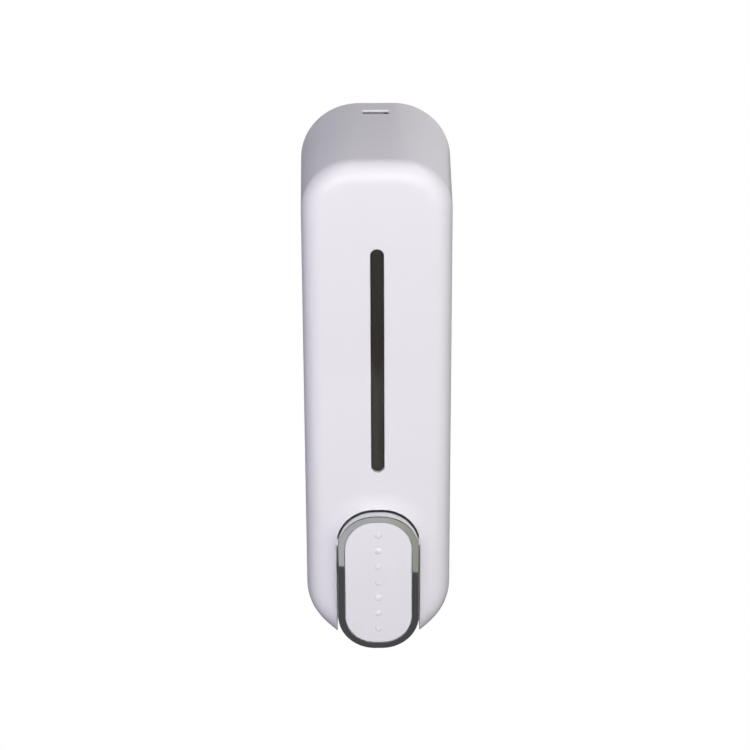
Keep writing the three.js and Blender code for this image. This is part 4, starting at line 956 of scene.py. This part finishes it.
def lid():
    under, top, skirt_end = TANK_RIM + GAP, TANK_RIM + GAP + LID_THICK, TANK_RIM - SKIRT_DEPTH
    rings = [(TANK_WALL + SKIRT_INSIDE, under), (TANK_WALL + SKIRT_INSIDE, skirt_end)]
    rings += [(TANK_WALL + SKIRT_OUTSIDE, skirt_end), (TANK_WALL + SKIRT_OUTSIDE, under), (-RIM_FLANGE, under)]
    rings += [(LID_ROUND * across - RIM_FLANGE, top - LID_ROUND * up) for across, up in quarter_turn(6)]
    plate = polish(loft("lid plate", [tank_ring(inset, z) for inset, z in rings]))
    grip = []
    for inset, y in GRIP_SECTION:
        flat = outline(GRIP_HALF - inset * MM, top - GAP, lid_high.z - inset * MM, GRIP_FOOT_ROUND,
                       GRIP_ROUND - inset * MM)
        grip.append(upright(flat, TANK_MIDDLE + y * MM))
    carve(plate, polish(loft("grip", grip)), "UNION")
    ends = [(0, TANK_MIDDLE - VENT_FORWARD, TANK_RIM + reach) for reach in (-VENT_REACH, VENT_REACH)]
    return carve(plate, round_bar(VENT_RADIUS, *ends, 24))


fit(polish(lid()), "tank_lid")

# %% [markdown]
# ## Springs
#
# A compression spring is wire wound on a mandrel, so it follows a rule: a spiral curve with a round section
# carried along it. Geometry Nodes has both as nodes. The same tree makes the large spring on the pump's rod and
# the small one under the latch, and only the numbers differ. A spring can't follow a sliding joint as a rigid
# piece; each one is given a mesh of its own.

# %% The spring tree
def spring_tree():
    """Wire of a round section on a spiral, turned to lie along its axis and moved to its foot."""
    tree, given, result = new_tree("wound spring", {
        "Turns": "NodeSocketFloat", "Radius": "NodeSocketFloat", "Wire": "NodeSocketFloat",
        "Length": "NodeSocketFloat", "Foot": "NodeSocketVector", "Lean": "NodeSocketVector",
        "Finish": "NodeSocketMaterial"})
    link = tree.links.new
    spiral = add_node(tree, "GeometryNodeCurveSpiral", {"Resolution": 28})
    for label, socket in (("Turns", "Rotations"), ("Radius", "Start Radius"), ("Radius", "End Radius"),
                          ("Length", "Height")):
        link(given.outputs[label], spiral.inputs[socket])
    section = add_node(tree, "GeometryNodeCurvePrimitiveCircle", {"Resolution": 12})
    link(given.outputs["Wire"], section.inputs["Radius"])
    wire = add_node(tree, "GeometryNodeCurveToMesh", {"Fill Caps": True})
    link(spiral.outputs["Curve"], wire.inputs["Curve"])
    link(section.outputs["Curve"], wire.inputs["Profile Curve"])
    place = add_node(tree, "GeometryNodeTransform")
    link(wire.outputs["Mesh"], place.inputs["Geometry"])
    link(given.outputs["Foot"], place.inputs["Translation"])
    link(given.outputs["Lean"], place.inputs["Rotation"])
    return end_tree(tree, place.outputs["Geometry"], given, result)


springs = spring_tree()
print(f"{springs.name}: {len(springs.nodes)} nodes")

# %% Both springs
Y, Z = 1, 2
REARWARD = (-math.pi / 2, 0, 0)
FORWARD = (math.pi / 2, 0, 0)
UPWARD = (0, 0, 0)
PUMP_TURNS, PUMP_WIRE = 5.0, 1.1 * MM
LATCH_TURNS, LATCH_WIRE = 6.0, 0.6 * MM


def spring(node, turns, wire, axis, lean):
    """The spring that fills a node's box along an axis, and the length of that box."""
    low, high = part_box(node)
    foot = (low + high) / 2
    foot[axis] = low[axis] + wire / 2
    across, length = high.x - low.x, high[axis] - low[axis]
    piece = apply_tree(mesh_piece(node + " wound", [], []), springs, {
        "Turns": turns, "Radius": (across - wire) / 2, "Wire": wire / 2, "Length": length - wire,
        "Foot": foot, "Lean": lean, "Finish": FINISHES["stainless_steel"]})
    return fit(polish(piece, 40), node), length


pump_spring, pump_length = spring("return_spring", PUMP_TURNS, PUMP_WIRE, Y, REARWARD)
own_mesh(pump_spring)
latch_spring, latch_length = spring("latch_spring", LATCH_TURNS, LATCH_WIRE, Z, UPWARD)
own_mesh(latch_spring)

# %% [markdown]
# ## Screws
#
# Twelve pan head screws hold the inside together, in four sizes. One screw is turned from a profile with a thread
# of ridges, and its cross is cut with two blocks. Geometry Nodes then puts a copy on each point of a small cloud
# of places, so that moving a screw means moving a point. Screws on one body make one object.

# %% The screw tree
def screw_tree():
    """A copy of one object on each point that comes in, turned to face its way."""
    tree, given, result = new_tree("screws in their places", {
        "Screw": "NodeSocketObject", "Turn": "NodeSocketVector", "Finish": "NodeSocketMaterial"})
    link = tree.links.new
    one = add_node(tree, "GeometryNodeObjectInfo")
    link(given.outputs["Screw"], one.inputs["Object"])
    place = add_node(tree, "GeometryNodeInstanceOnPoints")
    link(given.outputs["Geometry"], place.inputs["Points"])
    link(one.outputs["Geometry"], place.inputs["Instance"])
    link(given.outputs["Turn"], place.inputs["Rotation"])
    return end_tree(tree, place.outputs["Instances"], given, result)


places = screw_tree()
print(f"{places.name}: {len(places.nodes)} nodes")

# %% One screw
# Shares of the shank's radius: the pitch, the depth and start of the thread, its plain end, and the point.
PITCH, THREAD, THREAD_START, THREAD_END, POINT = 0.55, 0.12, 0.6, 1.5, 0.2
# Shares of the head: its flat top and upright side, and how long, wide and high up its cross is.
FLAT_TOP, SIDE, CROSS_LENGTH, CROSS_WIDTH, CROSS_FLOOR = 0.55, 0.45, 0.55, 0.12, 0.4


def pan_screw(shank, length, head, height):
    """A screw along z with its head below the origin. Shank and head are radii."""
    pitch, depth = PITCH * shank, THREAD * shank
    profile = [(-height, ON_AXIS), (-height, head * FLAT_TOP)]
    for across, up in quarter_turn(5)[1:]:
        profile.append((-height * (1 - (1 - SIDE) * across), head * (1 - (1 - FLAT_TOP) * up)))
    profile += [(0, head), (0, shank)]
    along = THREAD_START * shank
    while along + pitch < length - THREAD_END * shank:
        profile += [(along, shank - depth), (along + pitch / 2, shank)]
        along += pitch
    profile += [(length - shank, shank - depth), (length, shank * POINT), (length, ON_AXIS)]
    screw = turned("screw", profile, (0, 0, 0), "Z", 32)
    arm, slot = head * CROSS_LENGTH, head * CROSS_WIDTH
    for half_x, half_y in ((arm, slot), (slot, arm)):
        carve(screw, block(-half_x, half_x, -half_y, half_y, -height * 2, -height * CROSS_FLOOR))
    return screw


print(f"a shank of 1.1 mm radius has a thread pitch of {PITCH * 1.1:.2f} mm")

# %% All the screws
SCREWS = (  # start of the nodes' names; mm for the shank's radius, the head's radius and its height; way
    ("lens_screw", 1.1, 2.4, 1.3, FORWARD),
    ("guide_screw", 1.1, 2.4, 1.3, FORWARD),
    ("carrier_screw", 1.1, 2.4, 1.3, FORWARD),
    ("pump_screw", 1.4, 3, 2, REARWARD),
    ("keeper_screw", 0.6, 1.4, 0.8, REARWARD),
)
for start, shank, head, height, way in SCREWS:
    nodes = nodes_like(start)
    points = []
    for node in nodes:
        low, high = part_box(node)
        length = (high.y - low.y) / MM - height
        seat = high.y - height * MM if way is FORWARD else low.y + height * MM
        points.append(((low.x + high.x) / 2, seat, (low.z + high.z) / 2))
    screw = pan_screw(shank * MM, length * MM, head * MM, height * MM)
    group = apply_tree(mesh_piece(start + "s", points, []), places, {
        "Screw": screw, "Turn": way, "Finish": FINISHES["stainless_steel"]})
    bpy.data.objects.remove(screw)
    fit(polish(group), *nodes)

# %% [markdown]
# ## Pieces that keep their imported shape
#
# Brackets, rails and plates inside are right as they were designed; what they lack is the soft edge that every
# moulded or pressed part has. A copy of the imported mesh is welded, its flat faces are merged, and a Bevel
# modifier breaks the sharp edges, so that they catch a line of light. Only curves with many sides are shaded
# smoothly. The small faces of a bevel stay flat, or their shading would streak across the large flat faces.

# %% Softened copies
CAD_WELD = 1e-6  # m
FLAT = 0.6  # degrees: faces that meet at less are one face


def softened(node, width=0.22 * MM, sharp=40.0, smooth=21.0):
    """A copy of a node's mesh with its edges broken, shaded smooth up to an angle in degrees."""
    piece = new_object(f"{node} softened", frame["nodes"][node].data.copy())
    shape = bmesh.new()
    shape.from_mesh(piece.data)
    bmesh.ops.remove_doubles(shape, verts=shape.verts, dist=CAD_WELD)
    bmesh.ops.dissolve_limit(shape, angle_limit=math.radians(FLAT), verts=shape.verts, edges=shape.edges)
    shape.to_mesh(piece.data)
    shape.free()
    edges = piece.modifiers.new("soft edges", "BEVEL")
    edges.width = width
    edges.segments = 2
    edges.limit_method = "ANGLE"
    edges.angle_limit = math.radians(sharp)
    return fit(polish(settle(piece), smooth), node)


REMADE = ("front_cover", "button_bezel", "button_pad", "window_lens", "soap_tank", "tank_lid", "return_spring",
          "latch_spring")
for node in sorted(set(SLOTS) - set(REMADE)):
    if "screw" not in node:
        softened(node)

# %% [markdown]
# ## Stage, light and camera
#
# The stage is a plain white room that only the camera and clear plastics see. Real white walls would throw so
# much light on the object that its soft shading is lost. Gloss and chrome look right only when they have
# something light and something dark to mirror, so glowing cards stand where the chrome looks, below and in front,
# and one behind and above puts a soft sheen on the top. Two softboxes high in front put the bright bands on the
# corners. Cards and softboxes show in reflections only, and light nothing.
#
# A wide soft light in front makes the face bright, the room above is dimmer and so the top stays grey, and a
# small light lifts the right side. Two lights behind keep the back plate readable. The large lights don't show in
# reflections, because the cards already say what is mirrored there.

# %% Glowing surfaces
def ramp(tree, value, stops):
    """A colour that follows a value: stops are (value, colour)."""
    low, high = stops[0][0], stops[-1][0]
    span = add_node(tree, "ShaderNodeMapRange", {"From Min": low, "From Max": high})
    tree.links.new(value, span.inputs["Value"])
    colours = add_node(tree, "ShaderNodeValToRGB")
    while len(colours.color_ramp.elements) < len(stops):
        colours.color_ramp.elements.new(0.5)
    for element, (at, colour) in zip(colours.color_ramp.elements, stops):
        element.position = (at - low) / (high - low)
        element.color = linear(colour)
    tree.links.new(span.outputs["Result"], colours.inputs["Fac"])
    return colours.outputs["Color"]


def glowing(name, stops):
    """A surface that gives off light of its own, with a colour that follows x: stops are (x, colour)."""
    material = bpy.data.materials.new(name)
    material.use_nodes = True
    tree = material.node_tree
    tree.nodes.clear()
    glow = add_node(tree, "ShaderNodeEmission", {"Color": linear(stops[0][1])})
    out = add_node(tree, "ShaderNodeOutputMaterial")
    tree.links.new(glow.outputs["Emission"], out.inputs["Surface"])
    if len(stops) > 1:
        place = add_node(tree, "ShaderNodeTexCoord")
        part = add_node(tree, "ShaderNodeSeparateXYZ")
        tree.links.new(place.outputs["Object"], part.inputs["Vector"])
        tree.links.new(ramp(tree, part.outputs["X"], stops), glow.inputs["Color"])
    return material


def only_seen(piece, **ways):
    """Leaves a stage piece visible only in the ways that are named, such as camera or glossy."""
    for way in ("camera", "diffuse", "glossy", "transmission", "shadow", "volume_scatter"):
        setattr(piece, "visible_" + way, ways.get(way, False))


def card(name, left, right, feet, heads, stops):
    """A glowing sheet that only reflections show: (x, y) of its two sides, then z of its foot and head at each."""
    corners = [(*left, feet[0]), (*right, feet[1]), (*right, heads[1]), (*left, heads[0])]
    made = mesh_piece(name, corners, [(0, 1, 2, 3)])
    made.data.materials.append(glowing(name, stops))
    only_seen(made, glossy=True)
    print(f"{name}: {(right[0] - left[0]) * 100:.0f} cm wide")


# %% The white room
FLOOR_Z = -0.32
ROOM_SIDE = 6.0
ROOM_HEIGHT = 5.0
pale = glowing("pale room", [(0, "#ffffff")])
backdrop = loft("backdrop", [
    [Vector((x, y, z)) for x, y in (
        (ROOM_SIDE, -ROOM_SIDE), (ROOM_SIDE, ROOM_SIDE), (-ROOM_SIDE, ROOM_SIDE), (-ROOM_SIDE, -ROOM_SIDE))]
    for z in (FLOOR_Z, ROOM_HEIGHT)])
backdrop.data.materials.append(pale)
only_seen(backdrop, camera=True, transmission=True)

print(f"floor {(cover_low.z - FLOOR_Z) * 100:.0f} cm below the cover")

# %% The cards
CARD_Y = -0.18
CARD_HALF = 0.2
LEFT, RIGHT = (-CARD_HALF, CARD_Y), (CARD_HALF, CARD_Y)
SEAM = (-0.108, -0.148)  # where the grey card meets the dark one, at the left and the right
CARD_FOOT, CARD_TOP, SHADE_TOP = (-0.30, -0.30), (-0.03, -0.03), (0.06, 0.06)
card("grey card", LEFT, RIGHT, SEAM, CARD_TOP, [(-0.02, "#b8b9ba"), (0.004, "#bbbdb9"), (0.02, "#a2a497")])
card("dark card", LEFT, RIGHT, CARD_FOOT, SEAM, [(0, "#4e4e50")])
card("shade card", LEFT, RIGHT, CARD_TOP, SHADE_TOP, [(0, "#3a3a3e")])

REAR_HALF, REAR_Y, REAR_FOOT, REAR_TOP = 0.5, 0.3, (0.0, 0.0), (0.4, 0.4)
card("rear card", (-REAR_HALF, REAR_Y), (REAR_HALF, REAR_Y), REAR_FOOT, REAR_TOP,
     [(-0.05, "#88888f"), (-0.02, "#98989c"), (0.0, "#8c8c90"), (0.045, "#c4c4c6")])

BOX_NEAR, BOX_FAR = (0.25, -1.33), (1.1, -1.2)  # (x, y) of the right softbox's sides
BOX_FOOT, BOX_TOP = (0.2, 0.2), (1.1, 1.1)
card("left softbox", (-BOX_FAR[0], BOX_FAR[1]), (-BOX_NEAR[0], BOX_NEAR[1]), BOX_FOOT, BOX_TOP, [(0, "#ffffff")])
card("right softbox", BOX_NEAR, BOX_FAR, BOX_FOOT, BOX_TOP, [(0, "#ffffff")])

# %% The room's light
ROOM_STRENGTH = 0.3


def room():
    """Dim above and to the sides, bright in front and behind."""
    world = bpy.data.worlds.new("room")
    bpy.context.scene.world = world
    world.use_nodes = True
    tree = world.node_tree
    back = tree.nodes["Background"]
    place = add_node(tree, "ShaderNodeTexCoord")
    part = add_node(tree, "ShaderNodeSeparateXYZ")
    tree.links.new(place.outputs["Generated"], part.inputs["Vector"])
    height = ramp(tree, part.outputs["Z"], [
        (-1.0, "#c8c8c8"), (-0.3, "#e8e8e8"), (0.1, "#ffffff"), (0.5, "#a8a8aa"), (1.0, "#8a898e")])
    side = ramp(tree, part.outputs["X"], [
        (-1.0, "#d0d0ee"), (-0.5, "#cacae2"), (0.0, "#ffffff"), (0.5, "#f0f0ea"), (1.0, "#fcfcf4")])
    both = add_node(tree, "ShaderNodeMix", data_type="RGBA", blend_type="MULTIPLY")
    both.inputs[0].default_value = 1.0
    tree.links.new(height, both.inputs[MIX_A])
    tree.links.new(side, both.inputs[MIX_B])
    tree.links.new(both.outputs[MIX_RESULT], back.inputs["Color"])
    back.inputs["Strength"].default_value = ROOM_STRENGTH
    print(f"{world.name}: strength {ROOM_STRENGTH}")


room()

# %% The lights
def soft_light(name, place, aim, side, power, mirrored=True):
    """A square light of that side and power in watts. Some aren't mirrored in gloss."""
    data = bpy.data.lights.new(name, "AREA")
    data.shape = "RECTANGLE"
    data.size = data.size_y = side
    data.energy = power
    light = new_object(name, data)
    turn = (Vector(aim) - Vector(place)).to_track_quat("-Z", "Y").to_matrix().to_4x4()
    light.matrix_world = Matrix.Translation(place) @ turn
    light.visible_glossy = mirrored
    print(f"{name}: {power} W")


MIDDLE = (0, 0, 0)
soft_light("front light", (0.02, -1.33, 0.70), MIDDLE, 0.9, 19.6, mirrored=False)
soft_light("right light", (0.2, -0.05, 0.38), (0.01, -0.03, 0.1), 0.12, 0.12)
soft_light("rear left light", (-0.85, 1.1, 0.04), MIDDLE, 0.8, 8.0, mirrored=False)
soft_light("rear right light", (0.85, 1.1, 0.04), MIDDLE, 0.8, 8.0, mirrored=False)
bpy.context.scene.view_settings.view_transform = "Standard"

# %% The camera
SENSOR = 36
LENS = 123.218
CAMERA_AT = (-6.195 * MM, -1106.827 * MM, 510.533 * MM)
CAMERA_RIGHT = (0.999968, -0.006874, -0.004065)
CAMERA_UP = (0.006628, 0.430479, 0.902576)
CAMERA_LOOKS = (0.004454, 0.902574, -0.430511)
camera_data = bpy.data.cameras.new("camera")
camera_data.sensor_width = SENSOR
camera_data.lens = LENS
camera = new_object("camera", camera_data)
facing = Matrix((CAMERA_RIGHT, CAMERA_UP, [-part for part in CAMERA_LOOKS])).transposed().to_4x4()
camera.matrix_world = Matrix.Translation(CAMERA_AT) @ facing
bpy.context.scene.camera = camera
print(f"camera {math.hypot(*CAMERA_AT):.2f} m away, {LENS:.0f} mm lens")

# %% The end
bpy.context.view_layer.update()
